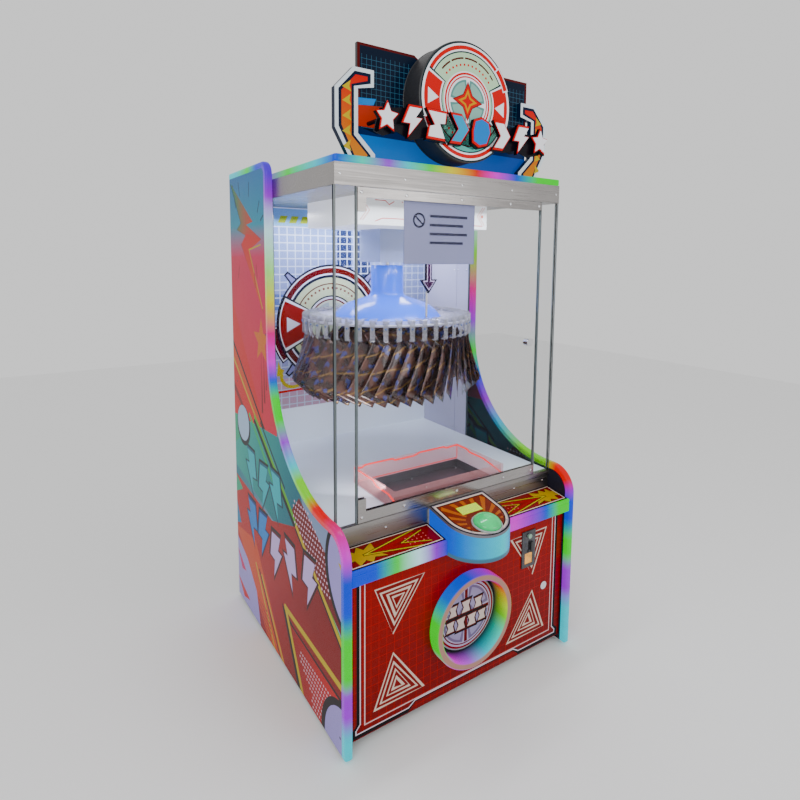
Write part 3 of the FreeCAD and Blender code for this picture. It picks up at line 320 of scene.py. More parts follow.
def gathered(parts):
    """Several (points, faces, colours) sets as one; colours are per point."""
    points, faces, colours, count = [], [], [], 0
    for part_points, part_faces, part_colours in parts:
        points.append(part_points)
        faces += [[index + count for index in face] for face in part_faces]
        colours.append(np.broadcast_to(part_colours, (len(part_points), 3)))
        count += len(part_points)
    return np.vstack(points), faces, np.vstack(colours)


def ink(red, green, blue):
    """A screen colour from 0 to 255 as the light it stands for, purer, and deeper the purer it is."""
    value = np.array([red, green, blue]) / 255.0
    value = np.where(value <= 0.04045, value / 12.92, ((value + 0.055) / 1.055) ** 2.4)
    grey = value @ np.array([0.2126, 0.7152, 0.0722])
    pure = np.clip(grey + (value - grey) * 1.8, 0, 1)
    return pure * (0.90 - 0.38 * (pure.max() - pure.min()) / max(pure.max(), 1e-6))


WHITE, BLACK, CREAM = ink(242, 242, 246), ink(8, 8, 12), ink(224, 210, 200)
RED, DEEP_RED, MAROON = ink(214, 14, 22), ink(128, 4, 8), ink(84, 8, 14)
YELLOW, ORANGE, TEAL = ink(226, 208, 20), ink(236, 120, 14), ink(0, 142, 178)
LAVENDER, NAVY, PINK = ink(176, 168, 214), ink(12, 24, 48), ink(250, 52, 128)
print("make_piece ready")

# %% [markdown]
# ## Lit strips
#
# The cabinet's edges are frosted tubes over colour-changing lamps. Each is a rounded section
# carried along its path. The colour runs smoothly from lamp to lamp, so a few stops along the
# length are enough, and the finish both shows and emits that colour.

# %% A lit strip
def rounded_section(width, depth, radius, count=4):
    """A rectangle from 0 to width and 0 to depth whose two outer corners (depth 0) are round."""
    angles = np.linspace(0, np.pi / 2, count)
    low = np.stack([radius - radius * np.cos(angles), radius - radius * np.sin(angles)], 1)
    high = np.stack([width - radius + radius * np.sin(angles), radius - radius * np.cos(angles)], 1)
    return np.vstack([low, high, [[width, depth], [0, depth]]])


def swept(path, outward, across, section, stops):
    """Points path - outward * depth + across * width for each section point, capped at both ends.

    The stops are (length along the path in mm, colour); between them the colour blends.
    """
    run = np.concatenate([[0], np.cumsum(np.linalg.norm(np.diff(path, axis=0), axis=1))])
    points = (path[:, None, :] - outward[:, None, :] * section[None, :, 1:2]
              + across[None, None, :] * section[None, :, 0:1])
    rows, columns = points.shape[:2]
    faces = lattice(rows, columns, close_columns=True)
    faces += [list(range(columns)), list(range(rows * columns - 1, (rows - 1) * columns - 1, -1))]
    where = np.array([stop[0] for stop in stops], float)
    tone = np.array([stop[1] for stop in stops])
    colour = np.stack([np.interp(run, where, tone[:, channel]) for channel in range(3)], 1)
    return points.reshape(-1, 3), faces, np.repeat(colour, columns, axis=0)


def fine_path(corners, step=12.0):
    """A polyline through the corners with a point at least every step."""
    corners = np.asarray(corners, float)
    run = np.concatenate([[0], np.cumsum(np.linalg.norm(np.diff(corners, axis=0), axis=1))])
    where = np.unique(np.concatenate([run, np.arange(0, run[-1], step)]))
    where = where[np.concatenate([[True], np.diff(where) > 0.5])]
    where[-1] = run[-1]
    return np.stack([np.interp(where, run, corners[:, axis]) for axis in range(corners.shape[1])], 1)


C_BLUE, C_CYAN, C_GREEN = ink(20, 90, 255), ink(120, 225, 255), ink(30, 235, 120)
C_VIOLET, C_MAGENTA, C_RED = ink(160, 80, 255), ink(255, 70, 220), ink(255, 40, 60)
C_LIME, C_ICE, C_PINK = ink(190, 255, 60), ink(215, 240, 255), ink(255, 90, 150)
C_YELLOW, C_TEAL = ink(250, 235, 60), ink(60, 235, 215)

FRONT, REAR, HALF = -422.5, 521.5, 450.0


def arc(centre, radius, start, end, count):
    """Points on an arc in a plane, angles in degrees from its first axis."""
    angles = np.radians(np.linspace(start, end, count))
    return np.stack([centre[0] + radius * np.cos(angles), centre[1] + radius * np.sin(angles)], 1)


def side_outline(inset):
    """The side's front and top edge as (y, z) points, moved in by the inset, with unit normals."""
    upper = FRONT + 546
    pieces = [
        (np.array([[FRONT + inset, 12.0], [FRONT + inset, 300.0]]), None),
        (arc((FRONT + 88, 564), 88 - inset, 180, 90, 14), (FRONT + 88, 564, 1)),
        (arc((FRONT + 121, 1077), 425 + inset, -90, 0, 40), (FRONT + 121, 1077, -1)),
        (arc((upper + 45, 1646), 45 - inset, 180, 90, 10), (upper + 45, 1646, 1)),
        (np.array([[REAR - 1.0, 1691.0 - inset], [REAR, 1691.0 - inset]]), None),
    ]
    points, normals = [], []
    for spots, bend in pieces:
        points.append(spots)
        if bend is None:
            straight = [-1.0, 0.0] if spots[0, 1] < 600 else [0.0, 1.0]
            normals.append(np.tile(straight, (len(spots), 1)))
        else:
            out = (spots - np.array(bend[:2])) * bend[2]
            normals.append(out / np.linalg.norm(out, axis=1)[:, None])
    return np.vstack(points), np.vstack(normals)


def side_strip(sign, stops):
    """One side's strip: the outline's points and normals resampled, swept across the panel."""
    points, normals = side_outline(0.0)
    run = np.concatenate([[0], np.cumsum(np.linalg.norm(np.diff(points, axis=0), axis=1))])
    where = np.unique(np.concatenate([run, np.arange(0, run[-1], 16.0)]))
    path = np.stack([np.full(len(where), sign * HALF)]
                    + [np.interp(where, run, points[:, k]) for k in (0, 1)], 1)
    out = np.stack([np.zeros(len(where))] + [np.interp(where, run, normals[:, k]) for k in (0, 1)], 1)
    out /= np.linalg.norm(out, axis=1)[:, None]
    section = rounded_section(24.0, 22.0, 7.0)
    shape = swept(path, out, np.array([-sign * 1.0, 0, 0]), section, stops)
    return shape if sign > 0 else (shape[0], [face[::-1] for face in shape[1]], shape[2])


left_stops = [(0, C_CYAN), (60, C_CYAN), (120, C_VIOLET), (190, C_VIOLET), (230, C_GREEN), (350, C_GREEN),
              (420, C_BLUE), (520, C_BLUE), (580, C_MAGENTA), (660, C_PINK), (740, C_RED), (800, C_RED),
              (860, C_LIME), (930, C_LIME), (985, C_CYAN), (1075, C_VIOLET), (1150, C_GREEN),
              (1225, C_GREEN), (1285, C_BLUE), (1345, C_MAGENTA), (1440, C_PINK), (1540, C_YELLOW),
              (1650, ink(205, 255, 190)), (1780, C_ICE), (1890, C_VIOLET), (1960, ink(110, 80, 255)),
              (2080, C_BLUE), (2170, C_GREEN), (2300, C_CYAN), (2400, C_CYAN)]
right_stops = [(0, C_CYAN), (130, C_CYAN), (200, C_VIOLET), (280, C_VIOLET), (330, C_GREEN), (390, C_GREEN),
               (460, C_BLUE), (530, C_BLUE), (565, C_VIOLET), (600, C_RED), (670, C_RED), (730, C_LIME),
               (850, C_LIME), (1000, ink(110, 190, 255)), (1100, C_VIOLET), (1200, C_BLUE),
               (1310, C_GREEN), (1440, C_VIOLET), (1570, C_PINK), (1720, C_LIME), (1890, C_ICE),
               (2400, C_CYAN)]
points, faces, colours = gathered([side_strip(-1, left_stops), side_strip(1, right_stops)])
make_piece("side_light_strips", points, faces, FINISHES["glow_strip"], "cabinet", colours, True,
           "led_diffuser", ("side_leds",))
print("side strips:", len(points), "points")

# %% [markdown]
# The header's strip runs round three sides of the roof, and two short strips light the deck's
# front edge beside the console.

# %% Header and deck strips
def plan_strip(corners, normals, base, height, depth, radius, stops):
    """A strip along a path in plan, its section standing up from the base height."""
    path = fine_path(np.column_stack([corners, normals]))
    spots = np.column_stack([path[:, :2], np.full(len(path), base)])
    out = np.column_stack([path[:, 2:4], np.zeros(len(path))])
    return swept(spots, out, np.array([0, 0, 1.0]), rounded_section(height, depth, radius), stops)


(low_x, low_y, low_z), (high_x, high_y, high_z) = [np.array(p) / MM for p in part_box("header_led")]
header_stops = [(0, C_CYAN), (300, C_VIOLET), (500, C_GREEN), (700, C_CYAN), (820, C_BLUE), (900, C_TEAL),
                (980, C_VIOLET), (1040, C_CYAN), (1120, ink(170, 255, 170)), (1200, C_YELLOW),
                (1300, C_RED), (1380, C_MAGENTA), (1460, C_BLUE), (1560, C_GREEN), (1660, C_GREEN),
                (1780, C_VIOLET), (2000, C_CYAN), (2500, C_BLUE)]
header_corners = [(low_x, high_y), (low_x, low_y + 8), (low_x + 8, low_y), (high_x - 8, low_y),
                  (high_x, low_y + 8), (high_x, high_y)]
header_normals = [(-1, 0), (-1, 0), (0, -1), (0, -1), (1, 0), (1, 0)]
header_shape = plan_strip(header_corners, header_normals, low_z, high_z - low_z, 14.0, 4.0, header_stops)
make_piece("header_light_strip", *header_shape[:2], FINISHES["glow_strip"], "cabinet",
           header_shape[2], True, "led_diffuser", ("header_led",))

deck_low, deck_high = (np.array(p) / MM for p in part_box("deck_leds"))
deck_shapes = []
for ends, stops in (
        ((deck_low[0], -108.0), [(0, C_BLUE), (70, C_BLUE), (140, C_GREEN), (215, C_ICE), (270, C_VIOLET),
                                 (320, C_BLUE)]),
        ((108.0, deck_high[0]), [(0, C_MAGENTA), (60, C_MAGENTA), (130, C_VIOLET), (200, C_BLUE),
                                 (265, C_GREEN), (320, C_GREEN)])):
    deck_shapes.append(plan_strip([(ends[0], deck_low[1]), (ends[1], deck_low[1])], [(0, -1), (0, -1)],
                                  deck_low[2], deck_high[2] - deck_low[2] - 12.2, 8.0, 3.5, stops))
    deck_shapes.append(plan_strip([(ends[0], deck_low[1]), (ends[1], deck_low[1])], [(0, -1), (0, -1)],
                                  deck_high[2] - 12.2, 12.2, 8.0, 3.5, stops))
points, faces, colours = gathered(deck_shapes)
make_piece("deck_light_strips", points, faces, FINISHES["glow_strip"], "cabinet", colours, True,
           "led_diffuser", ("deck_leds",))
print("header and deck strips made")

# %% [markdown]
# ## Printed films
#
# The artwork is printed film stuck on flat panels. Every film here is one sheet cut into exact
# regions: all the outlines go into one triangulation, and each triangle takes the ink of the
# topmost shape over it. So the sheet has no layers that could flicker, and its edges stay sharp.

# %% Flat shapes and the print
def disc(x, y, radius, tone, count=40):
    """A filled circle."""
    return [(arc((x, y), radius, 0, 360 - 360 / count, count), tone)]


def ring_part(x, y, inner, outer, start, end, tone, count=None):
    """A part of a ring between two radii and two angles."""
    count = count or max(3, int(abs(end - start) / 7) + 2)
    outer_arc = arc((x, y), outer, start, end, count)
    return [(np.vstack([outer_arc, arc((x, y), inner, end, start, count)]), tone)]


def target_ring(x, y, inner, outer, tone):
    """A whole ring, in two halves."""
    return ring_part(x, y, inner, outer, 0, 180, tone, 28) + ring_part(x, y, inner, outer, 180, 360, tone, 28)


def stroke(corners, width, tone, closed=False):
    """A line of even width: one four-sided piece for each run, lengthened by half the width."""
    corners = [np.array(corner, float) for corner in corners]
    if closed:
        corners = corners + corners[:1]
    parts = []
    for start, end in zip(corners[:-1], corners[1:]):
        along = (end - start) / np.linalg.norm(end - start) * width / 2
        aside = np.array([-along[1], along[0]])
        parts.append((np.array([start - along - aside, end + along - aside,
                                end + along + aside, start - along + aside]), tone))
    return parts


def poly(tone, *corners):
    """A filled polygon."""
    return [(np.array(corners, float), tone)]


def bordered(corners, tone, edge, width):
    """A polygon with a line round it."""
    return poly(tone, *corners) + stroke(corners, width, edge, True)


def dotted(x_range, y_range, pitch, radius, tone, keep):
    """Halftone dots on a staggered grid, kept where keep(x, y) holds."""
    dots = []
    for row, y in enumerate(np.arange(y_range[0], y_range[1], pitch)):
        for x in np.arange(x_range[0] + (row % 2) * pitch / 2, x_range[1], pitch):
            if keep(x, y):
                dots += disc(x, y, radius, tone, 6)
    return dots


def star(x, y, radius, tone, points=5, inner=0.42, turn=90.0):
    """A star with its first point at the turn angle."""
    angles = np.radians(turn + np.arange(2 * points) * 180.0 / points)
    reach = np.where(np.arange(2 * points) % 2 == 0, radius, radius * inner)
    return [(np.stack([x + reach * np.cos(angles), y + reach * np.sin(angles)], 1), tone)]


def fade(first, start, second, end):
    """An ink that changes evenly from one place to another."""
    start, end = np.array(start, float), np.array(end, float)
    along = end - start

    def tone(spots):
        share = np.clip((spots - start) @ along / (along @ along), 0, 1)[:, None]
        return first * (1 - share) + second * share
    return tone


def print_cut(shapes, holes=()):
    """The first shape's area cut along every outline: 2D points, triangles, a colour per corner."""
    spots, loops = [], []
    for outline in [shape[0] for shape in shapes] + list(holes):
        outline = np.asarray(outline, float)
        ahead = np.roll(outline, -1, axis=0)
        if np.sum(outline[:, 0] * ahead[:, 1] - ahead[:, 0] * outline[:, 1]) < 0:
            outline = outline[::-1]
        loops.append(list(range(len(spots), len(spots) + len(outline))))
        spots += [tuple(map(float, spot)) for spot in outline]
    found = delaunay_2d_cdt(spots, [], loops, 1, 1e-3, True)
    flat = np.array([tuple(spot) for spot in found[0]])
    triangles, tones = [], []
    for face, owners in zip(found[2], found[5]):
        if 0 in owners and max(owners) < len(shapes):
            triangles.append(list(face))
            tone = shapes[max(owners)][1]
            corners = flat[list(face)]
            tones.append(tone(corners) if callable(tone) else np.tile(tone, (len(face), 1)))
    used, order = np.unique(np.array(triangles), return_inverse=True)
    triangles = order.reshape(-1, 3)
    return flat[used], triangles, np.vstack(tones)


def printed_slab(flat, triangles, tones, origin, across, up, thick, edge=BLACK):
    """A closed sheet: the printed face, a plain back a thickness behind, and walls between."""
    origin, across, up = (np.array(v, float) for v in (origin, across, up))
    normal = np.cross(across, up)
    flip = np.cross(flat[triangles[:, 1]] - flat[triangles[:, 0]],
                    flat[triangles[:, 2]] - flat[triangles[:, 0]]) < 0
    ordered = triangles.copy()
    ordered[flip] = triangles[flip][:, ::-1]
    tones = tones.reshape(-1, 3, 3).copy()
    tones[flip] = tones[flip][:, ::-1]
    face = origin + flat[:, :1] * across + flat[:, 1:] * up
    points = np.vstack([face, face - normal * thick])
    count = len(flat)
    edges = np.vstack([ordered[:, [0, 1]], ordered[:, [1, 2]], ordered[:, [2, 0]]])
    keys = edges[:, 0] * count + edges[:, 1]
    rim = edges[~np.isin(keys, edges[:, 1] * count + edges[:, 0])]
    walls = np.stack([rim[:, 1], rim[:, 0], rim[:, 0] + count, rim[:, 1] + count], 1)
    faces = ordered.tolist() + (ordered[:, ::-1] + count).tolist() + walls.tolist()
    plain = np.tile(edge, (3 * len(ordered) + 4 * len(walls), 1))
    return points, faces, np.vstack([tones.reshape(-1, 3), plain])


def film(name, shapes, origin, across, up, body, thick=0.4, holes=(), material="print_film",
         slot=None, stands_for=()):
    """A printed sheet lying on a plane through the origin; its face looks along across x up."""
    lifted = np.array(origin, float) + np.cross(across, up) * thick
    points, faces, colours = printed_slab(*print_cut(shapes, holes), lifted, across, up, thick)
    return make_piece(name, points, faces, FINISHES[material], body, colours, False, slot, stands_for)


def joined_slabs(parts):
    """Several printed slabs as one set of points, faces and corner colours."""
    points, faces, count = [], [], 0
    for part_points, part_faces, _ in parts:
        points.append(part_points)
        faces += [[index + count for index in face] for face in part_faces]
        count += len(part_points)
    return np.vstack(points), faces, np.vstack([part[2] for part in parts])


print("print tools ready")

# %% [markdown]
# ## Side panels
#
# The printed side panels carry comic-style artwork: a long bolt, a star, diverging rays, chevrons
# and halftone dots. The panel itself is rebuilt with its curved front edge so that the print is
# its outer face. Positions are (depth, height) in millimetres on the panel.

# %% Side artwork
def side_art():
    """The panel's outline first, then everything printed on it, from back to front."""
    front, _ = side_outline(22.0)
    outline = np.vstack([front, [[REAR, 12.0]]])
    art = [(outline, fade(ink(150, 160, 185), (-200, 430), ink(70, 140, 150), (300, 760)))]
    art += poly(fade(ink(255, 24, 96), (500, 1000), ink(248, 64, 120), (130, 1380)), (60, 740), (530, 700),
                (530, 1480), (60, 1480))
    art += poly(fade(ink(0, 164, 186), (300, 1490), ink(0, 120, 176), (300, 1700)), (60, 1490), (530, 1490),
                (530, 1700), (60, 1700))
    art += poly(fade(ink(248, 64, 120), (300, 1380), ink(0, 164, 186), (300, 1490)), (60, 1380), (530, 1380),
                (530, 1490), (60, 1490))
    art += poly(fade(ink(240, 10, 40), (520, 1000), ink(255, 30, 90), (250, 1080)), (530, 1230), (530, 740),
                (150, 760))
    art += poly(RED, (530, 1120), (530, 760), (170, 750))
    art += poly(BLACK, (530, 1065), (530, 1050), (150, 748), (140, 760))
    art += poly(ORANGE, (530, 1050), (530, 985), (210, 752), (150, 752))
    art += poly(YELLOW, (530, 1000), (530, 985), (200, 752), (188, 752))
    art += poly(DEEP_RED, (530, 900), (530, 870), (330, 750), (300, 750))
    art += poly(ink(255, 90, 70), (530, 842), (530, 812), (430, 760), (390, 760))
    for x, low, high, width in ((172, 880, 1085, 14), (196, 840, 1050, 16), (152, 930, 1020, 10)):
        art += poly(ink(120, 8, 40), (x - width / 2, low), (x + width / 2, low), (x + 2, high))
    art += poly(fade(ink(60, 186, 176), (400, 760), ink(40, 120, 134), (0, 500)), (-60, 800), (530, 765),
                (530, 560), (-260, 420))
    art += poly(ink(96, 190, 160), (530, 765), (530, 640), (330, 765))
    art += disc(412, 742, 78, BLACK) + disc(416, 750, 68, ink(190, 205, 225))
    for a, b, width, tone in (((270, 790), (-430, 318), 34, BLACK),
                              ((278, 806), (-430, 330), 16, ink(150, 200, 110)),
                              ((340, 800), (60, 590), 14, ink(120, 205, 150)), ((220, 800), (0, 640), 8,
                                  BLACK)):
        art += stroke((a, b), width, tone)
    art += poly(ink(110, 8, 20), (-430, 470), (-300, 560), (-120, 650), (-60, 590), (-200, 470), (-430, 352))
    art += dotted((-330, -70), (440, 660), 17, 4.4, ink(226, 200, 214),
                  lambda x, y: 0.67 * x + 610 < y < 0.64 * x + 750 and y < 640)
    art += disc(-478, 548, 176, BLACK, 60) + disc(-484, 548, 164, LAVENDER, 60)
    art += star(-408, 560, 26, YELLOW, 3, 0.4, 20)
    art += poly(fade(DEEP_RED, (-200, 300), ink(178, 6, 20), (300, 460)), (-430, 318), (-90, 545), (120, 480),
                (530, 520), (530, 0), (-430, 0))
    art += stroke(((-430, 322), (-96, 548)), 16, YELLOW) + stroke(((-430, 306), (-88, 536)), 8, BLACK)
    art += poly(ORANGE, (530, 300), (300, 330), (20, 12), (180, 12))
    art += stroke(((236, 222), (30, 8)), 12, YELLOW) + stroke(((300, 240), (110, 8)), 10, YELLOW)
    art += stroke(((262, 232), (60, 8)), 9, BLACK)
    art += dotted((150, 330), (20, 120), 15, 4.2, MAROON, lambda x, y: x < 330 and y < 0.9 * x - 60)
    art += poly(LAVENDER, (530, 260), (400, 210), (300, 130), (260, 12), (530, 12))
    art += poly(PINK, (530, 210), (420, 150), (470, 140)) + poly(RED, (530, 90), (380, 50), (450, 30))
    art += poly(TEAL, (530, 420), (470, 330), (530, 310)) + poly(ink(96, 190, 160), (530, 520), (440, 480),
        (530, 440))
    art += poly(BLACK, (-430, 178), (-60, 196), (40, 226), (-90, 12), (-430, 12))
    art += poly(ORANGE, (-430, 168), (-30, 190), (-132, 12), (-430, 12))
    art += poly(fade(ink(226, 84, 24), (-430, 100), ink(150, 30, 20), (-100, 150)), (-430, 168), (-30, 190),
                (-132, 12), (-430, 12))
    art += dotted((-330, -110), (24, 150), 15, 4.2, ink(216, 196, 206),
                  lambda x, y: y > 0.6 * (x + 330) - 20 or x < -200)
    art += stroke(((-430, 214), (6, 226), (-128, 12)), 20, YELLOW)
    art += disc(-420, 22, 152, BLACK, 60) + disc(-424, 22, 132, LAVENDER, 60)
    for x, y, tone, edge, sign in ((215, 392, ink(40, 150, 220), ink(16, 60, 120), -1),
                                   (330, 590, ink(90, 205, 214), ink(0, 110, 130), 1),
                                   (200, 575, ink(90, 205, 214), ink(0, 110, 130), -1),
                                   (80, 585, ink(90, 205, 214), ink(0, 110, 130), 1),
                                   (330, 395, ink(40, 150, 220), ink(16, 60, 120), 1),
                                   (90, 370, ink(206, 190, 226), MAROON, -1), (-40, 395, ink(206, 190, 226),
                                       MAROON, 1), (-190, 415, ink(206, 190, 226), MAROON, -1)):
        for grow, shade in ((1.34, BLACK), (1.2, edge), (1.06, tone)):
            bolt = np.array([(-32, 66), (40, 70), (20, 22), (52, 20), (-16, -78), (-8, -20),
                             (-48, -16)]) * grow
            art.append((bolt * np.array([sign, 1.0]) + np.array([x, y]), shade))
    spark = [(505, 1652), (262, 1500), (330, 1492), (180, 1438), (300, 1404), (168, 1190), (392, 1424),
             (330, 1452), (440, 1478), (392, 1500)]
    art += poly(BLACK, *[(x * 1.03 - 9, y) for x, y in spark])
    art += poly(fade(ink(24, 140, 110), (400, 1560), RED, (280, 1462)), *spark[:4], (286, 1420), (392, 1424),
                *spark[7:])
    art += poly(fade(RED, (290, 1430), ORANGE, (220, 1300)), (182, 1436), (300, 1404), (168, 1190),
                (392, 1424), (330, 1462))
    art += stroke(((186, 1420), (306, 1404), (176, 1206)), 5, YELLOW)
    for x, y, dx, dy in ((400, 1600, 14, 46), (450, 1560, 16, 40), (210, 1530, -20, 34), (180, 1500, -26, 16),
                         (300, 1590, -6, 44), (250, 1320, -4, -46), (232, 1350, -8, -40),
                         (420, 1340, 16, -40)):
        art += stroke(((x, y), (x + dx, y + dy)), 6, ink(10, 70, 90) if y > 1470 else ink(150, 20, 60))
    art += star(194, 1092, 82, ink(240, 150, 20))
    for y, z in ((142, 1640), (480, 1640), (150, 1120), (-390, 604), (-390, 60), (480, 60), (480, 900),
                 (100, 1000), (20, 760), (-220, 640)):
        art += disc(y, z, 4.5, ink(60, 60, 70), 8)
    return art


cut_art = print_cut(side_art())
for sign, name in ((-1, "left"), (1, "right")):
    flat = cut_art[0] * np.array([-1.0, 1.0]) if sign < 0 else cut_art[0]
    across = (0, -1.0, 0) if sign < 0 else (0, 1.0, 0)
    points, faces, colours = printed_slab(flat, cut_art[1], cut_art[2], (sign * HALF, 0, 0), across,
        (0, 0, 1), 24.0,
                                          ink(40, 40, 48))
    make_piece("side_panel_print_" + name, points, faces, FINISHES["print_film"], "cabinet", colours, False,
               "side_art", ("side_panel_" + name,))
print("side art:", len(cut_art[1]), "triangles")

# %% [markdown]
# ## Front door, deck and console prints
#
# The door is dark red with a fine orange grid, sketchy triangles and a stepped border line. The
# deck carries a spiky burst and arrows on each side, and the console top a sunburst that fans out
# from behind the button.

# %% Door film
def nested_triangles(corners, tone, ground):
    """Triangles inside each other about their middle, their lines wavering a little."""
    corners = np.array(corners, float)
    middle = corners.mean(axis=0)
    parts = []
    for index, share in enumerate((1.0, 0.93, 0.76, 0.66, 0.50, 0.40, 0.27, 0.17)):
        wobble = 1.6 * np.sin(np.array([1.3, 4.1, 2.2]) * (index + 1))[:, None]
        parts.append((middle + (corners - middle) * share + wobble, tone if index % 2 == 0 else ground))
    return parts


def door_art(left, right, low, high):
    """Grid lines, border lines and four nested triangles on the door's face, as (across, height)."""
    shapes = poly(fade(ink(150, 4, 8), (0, high), ink(118, 2, 6), (0, low)), (left, low), (right, low),
                  (right, high), (left, high))
    for x in np.arange(left + 18, right, 26.0):
        shapes += stroke(((x, low), (x, high)), 1.5, ink(186, 58, 22))
    for z in np.arange(low + 14, high, 26.0):
        shapes += stroke(((left, z), (right, z)), 1.5, ink(186, 58, 22))
    outer = [(-394, high), (-394, 74), (-408, 58), (-408, 40), (-228, 40), (-204, 62), (204, 62), (228, 40),
             (408, 40), (408, 58), (394, 74), (394, high)]
    shapes += stroke(outer, 12, BLACK)
    shapes += stroke([(x * 0.986, max(z, 47)) for x, z in outer], 3.6, ink(225, 215, 222))
    shapes += stroke([(-374, high), (-374, 66), (374, 66), (374, high)], 3.6, ink(230, 205, 205))
    for corners in (((-345, 458), (-170, 458), (-282, 302)), ((345, 458), (175, 458), (282, 302)),
                    ((-282, 247), (-345, 92), (-168, 92)), ((282, 247), (168, 92), (345, 92))):
        shapes += nested_triangles(corners, CREAM, DEEP_RED)
    return shapes


(left, face_y, low), (right, _, high) = [np.array(p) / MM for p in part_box("front_door")]
OUTLET_HEIGHT, FLAP_FACE = 258.0, -381.0
door_holes = [arc((0, OUTLET_HEIGHT), 151, 0, 352.5, 48), arc((338, 247), 14.6, 0, 345, 24),
              np.array([(226.5, 341), (288.5, 341), (288.5, 469), (226.5, 469)], float)]
film("door_print", door_art(left, right, low, high), (0, face_y, 0), (1, 0, 0), (0, 0, 1), "front_door",
     0.4, door_holes, "print_film", "door_print")

# %% [markdown]
# The deck's two films mirror each other: a burst, an arrow and a border line. The console's film
# fans rays out round the button. Both follow the slope of the plate they lie on.

# %% Deck and console films
def deck_art(sign, left, right, depth):
    """A spiky burst outside an arrow that points away from the console, inside a border line."""
    def spot(x, y):
        return (sign * x, y * depth / 96.0)

    shapes = bordered([spot(left, 0), spot(right, 0), spot(right, 96), spot(left, 96)], DEEP_RED,
                      ink(36, 6, 14), 10)
    burst = [(-420, 62), (-404, 60), (-398, 84), (-382, 64), (-366, 86), (-352, 66), (-318, 88), (-320, 60),
             (-296, 52), (-318, 38), (-300, 16), (-336, 26), (-352, 8), (-366, 24), (-392, 8), (-396, 34),
             (-420, 30)]
    shapes += poly(BLACK, *[spot(x, y + (3 if y > 48 else -3)) for x, y in burst])
    shapes += poly(ink(206, 180, 14), *[spot(x, y) for x, y in burst])
    arrow = [(-180, 84), (-352, 46), (-180, 10), (-180, 26), (-270, 46), (-180, 66)]
    shapes += poly(ink(150, 8, 10), *[spot(x, y) for x, y in arrow])
    shapes += stroke([spot(-170, 86), spot(-360, 46), spot(-170, 6)], 9, BLACK)
    shapes += stroke([spot(-170, 86), spot(-360, 46), spot(-170, 6)], 4.5, YELLOW)
    shapes += stroke([spot(-150, 74), spot(-236, 46), spot(-150, 18)], 7, BLACK)
    shapes += stroke([spot(-150, 74), spot(-236, 46), spot(-150, 18)], 3.5, YELLOW)
    for y in (30, 44, 58):
        for x in (-216, -200, -184, -168, -152):
            shapes += disc(*spot(x, y), 2.6, ink(230, 140, 140), 6)
    shapes += stroke([spot(left + 7, 7), spot(right - 7, 7), spot(right - 7, 89), spot(left + 7, 89)], 3.5,
                     ink(236, 226, 214), True)
    return shapes


DECK_RISE = math.hypot(96.0, 12.5)
for sign, name in ((1, "left"), (-1, "right")):
    film("deck_print_" + name, deck_art(sign, -425, -108.8, DECK_RISE), (0, -412.5, 549.1), (1, 0, 0),
         (0, 96.0 / DECK_RISE, 12.5 / DECK_RISE), "cabinet", 0.4, slot="deck_print")

SLOPE = math.radians(9.81)
APRON_FACE, CONSOLE_TOP = -316.5, 620.0
NOSE_RADIUS, NOSE_BACK = 108.0, 97.0
NOSE_MIDDLE = APRON_FACE - NOSE_BACK
LIP_LOW, LIP_HIGH, SKIRT_LOW = 502.0, 511.0, 516.0


def on_console(x, reach, lift=0.0):
    """A place on the sloped console top: reach forwards of the apron along the slope, lift above it."""
    return (x, APRON_FACE - reach * math.cos(SLOPE) - lift * math.sin(SLOPE),
            CONSOLE_TOP - reach * math.sin(SLOPE) + lift * math.cos(SLOPE))


def console_outline(inset):
    """The console's D in its own plane: (across, minus the reach), the nose a slope-stretched arc."""
    nose = arc((0, 0), NOSE_RADIUS - inset, 180, 360, 40)
    nose[:, 1] = (nose[:, 1] - NOSE_BACK) / math.cos(SLOPE)
    back = -8.3 - inset
    return np.vstack([[(inset - NOSE_RADIUS, back)], nose, [(NOSE_RADIUS - inset, back)]])


def console_art():
    """Sunburst rays inside dark and cream border lines, with four small screws."""
    shapes = [(console_outline(0.2), BLACK), (console_outline(5), ink(150, 140, 150)),
              (console_outline(8), CREAM), (console_outline(14), ink(34, 12, 14)),
              (console_outline(18), ink(120, 58, 30))]
    centre = np.array([0.0, -150.0])
    for k in range(20):
        angles = np.radians([k * 18 - 3.6, k * 18 + 3.6])
        near, far = centre + 60 * np.stack([np.cos(angles), np.sin(angles)], 1), []
        for angle in angles:
            direction = np.array([math.cos(angle), math.sin(angle)])
            reach = np.arange(60.0, 170.0, 2.0)[:, None] * direction + centre
            inside = ((np.abs(reach[:, 0]) < 88) & (reach[:, 1] < -28)
                      & ((reach[:, 1] > -97) | (np.hypot(reach[:, 0], reach[:, 1] + 97) < 88)))
            far.append(reach[max(int(np.argmin(inside)) - 1, 0)] if not inside.all() else reach[-1])
        if np.linalg.norm(far[0] - near[0]) > 5 and np.linalg.norm(far[1] - near[1]) > 5:
            shapes.append((np.array([near[0], far[0], far[1], near[1]]), ink(190, 124, 74)))
    for x, y in ((-98, -16), (98, -16), (-70, -168), (70, -168)):
        shapes += disc(x, y, 3.4, ink(150, 150, 155), 12)
    return shapes


button_at = (0.0, -(106 + 48) / math.cos(SLOPE))
window_at = -(106 - 35) / math.cos(SLOPE)
console_holes = [arc(button_at, 48.3, 0, 352.5, 48),
                 np.array([(-40.3, window_at - 19.3), (40.3, window_at - 19.3), (40.3, window_at + 19.3),
                           (-40.3, window_at + 19.3)])]
film("console_print", console_art(), on_console(0, 0, 0.05), (1, 0, 0), (0, math.cos(SLOPE), math.sin(SLOPE)),
     "cabinet", 0.3, console_holes, "print_film", "console_print")
print("door, deck and console films made")

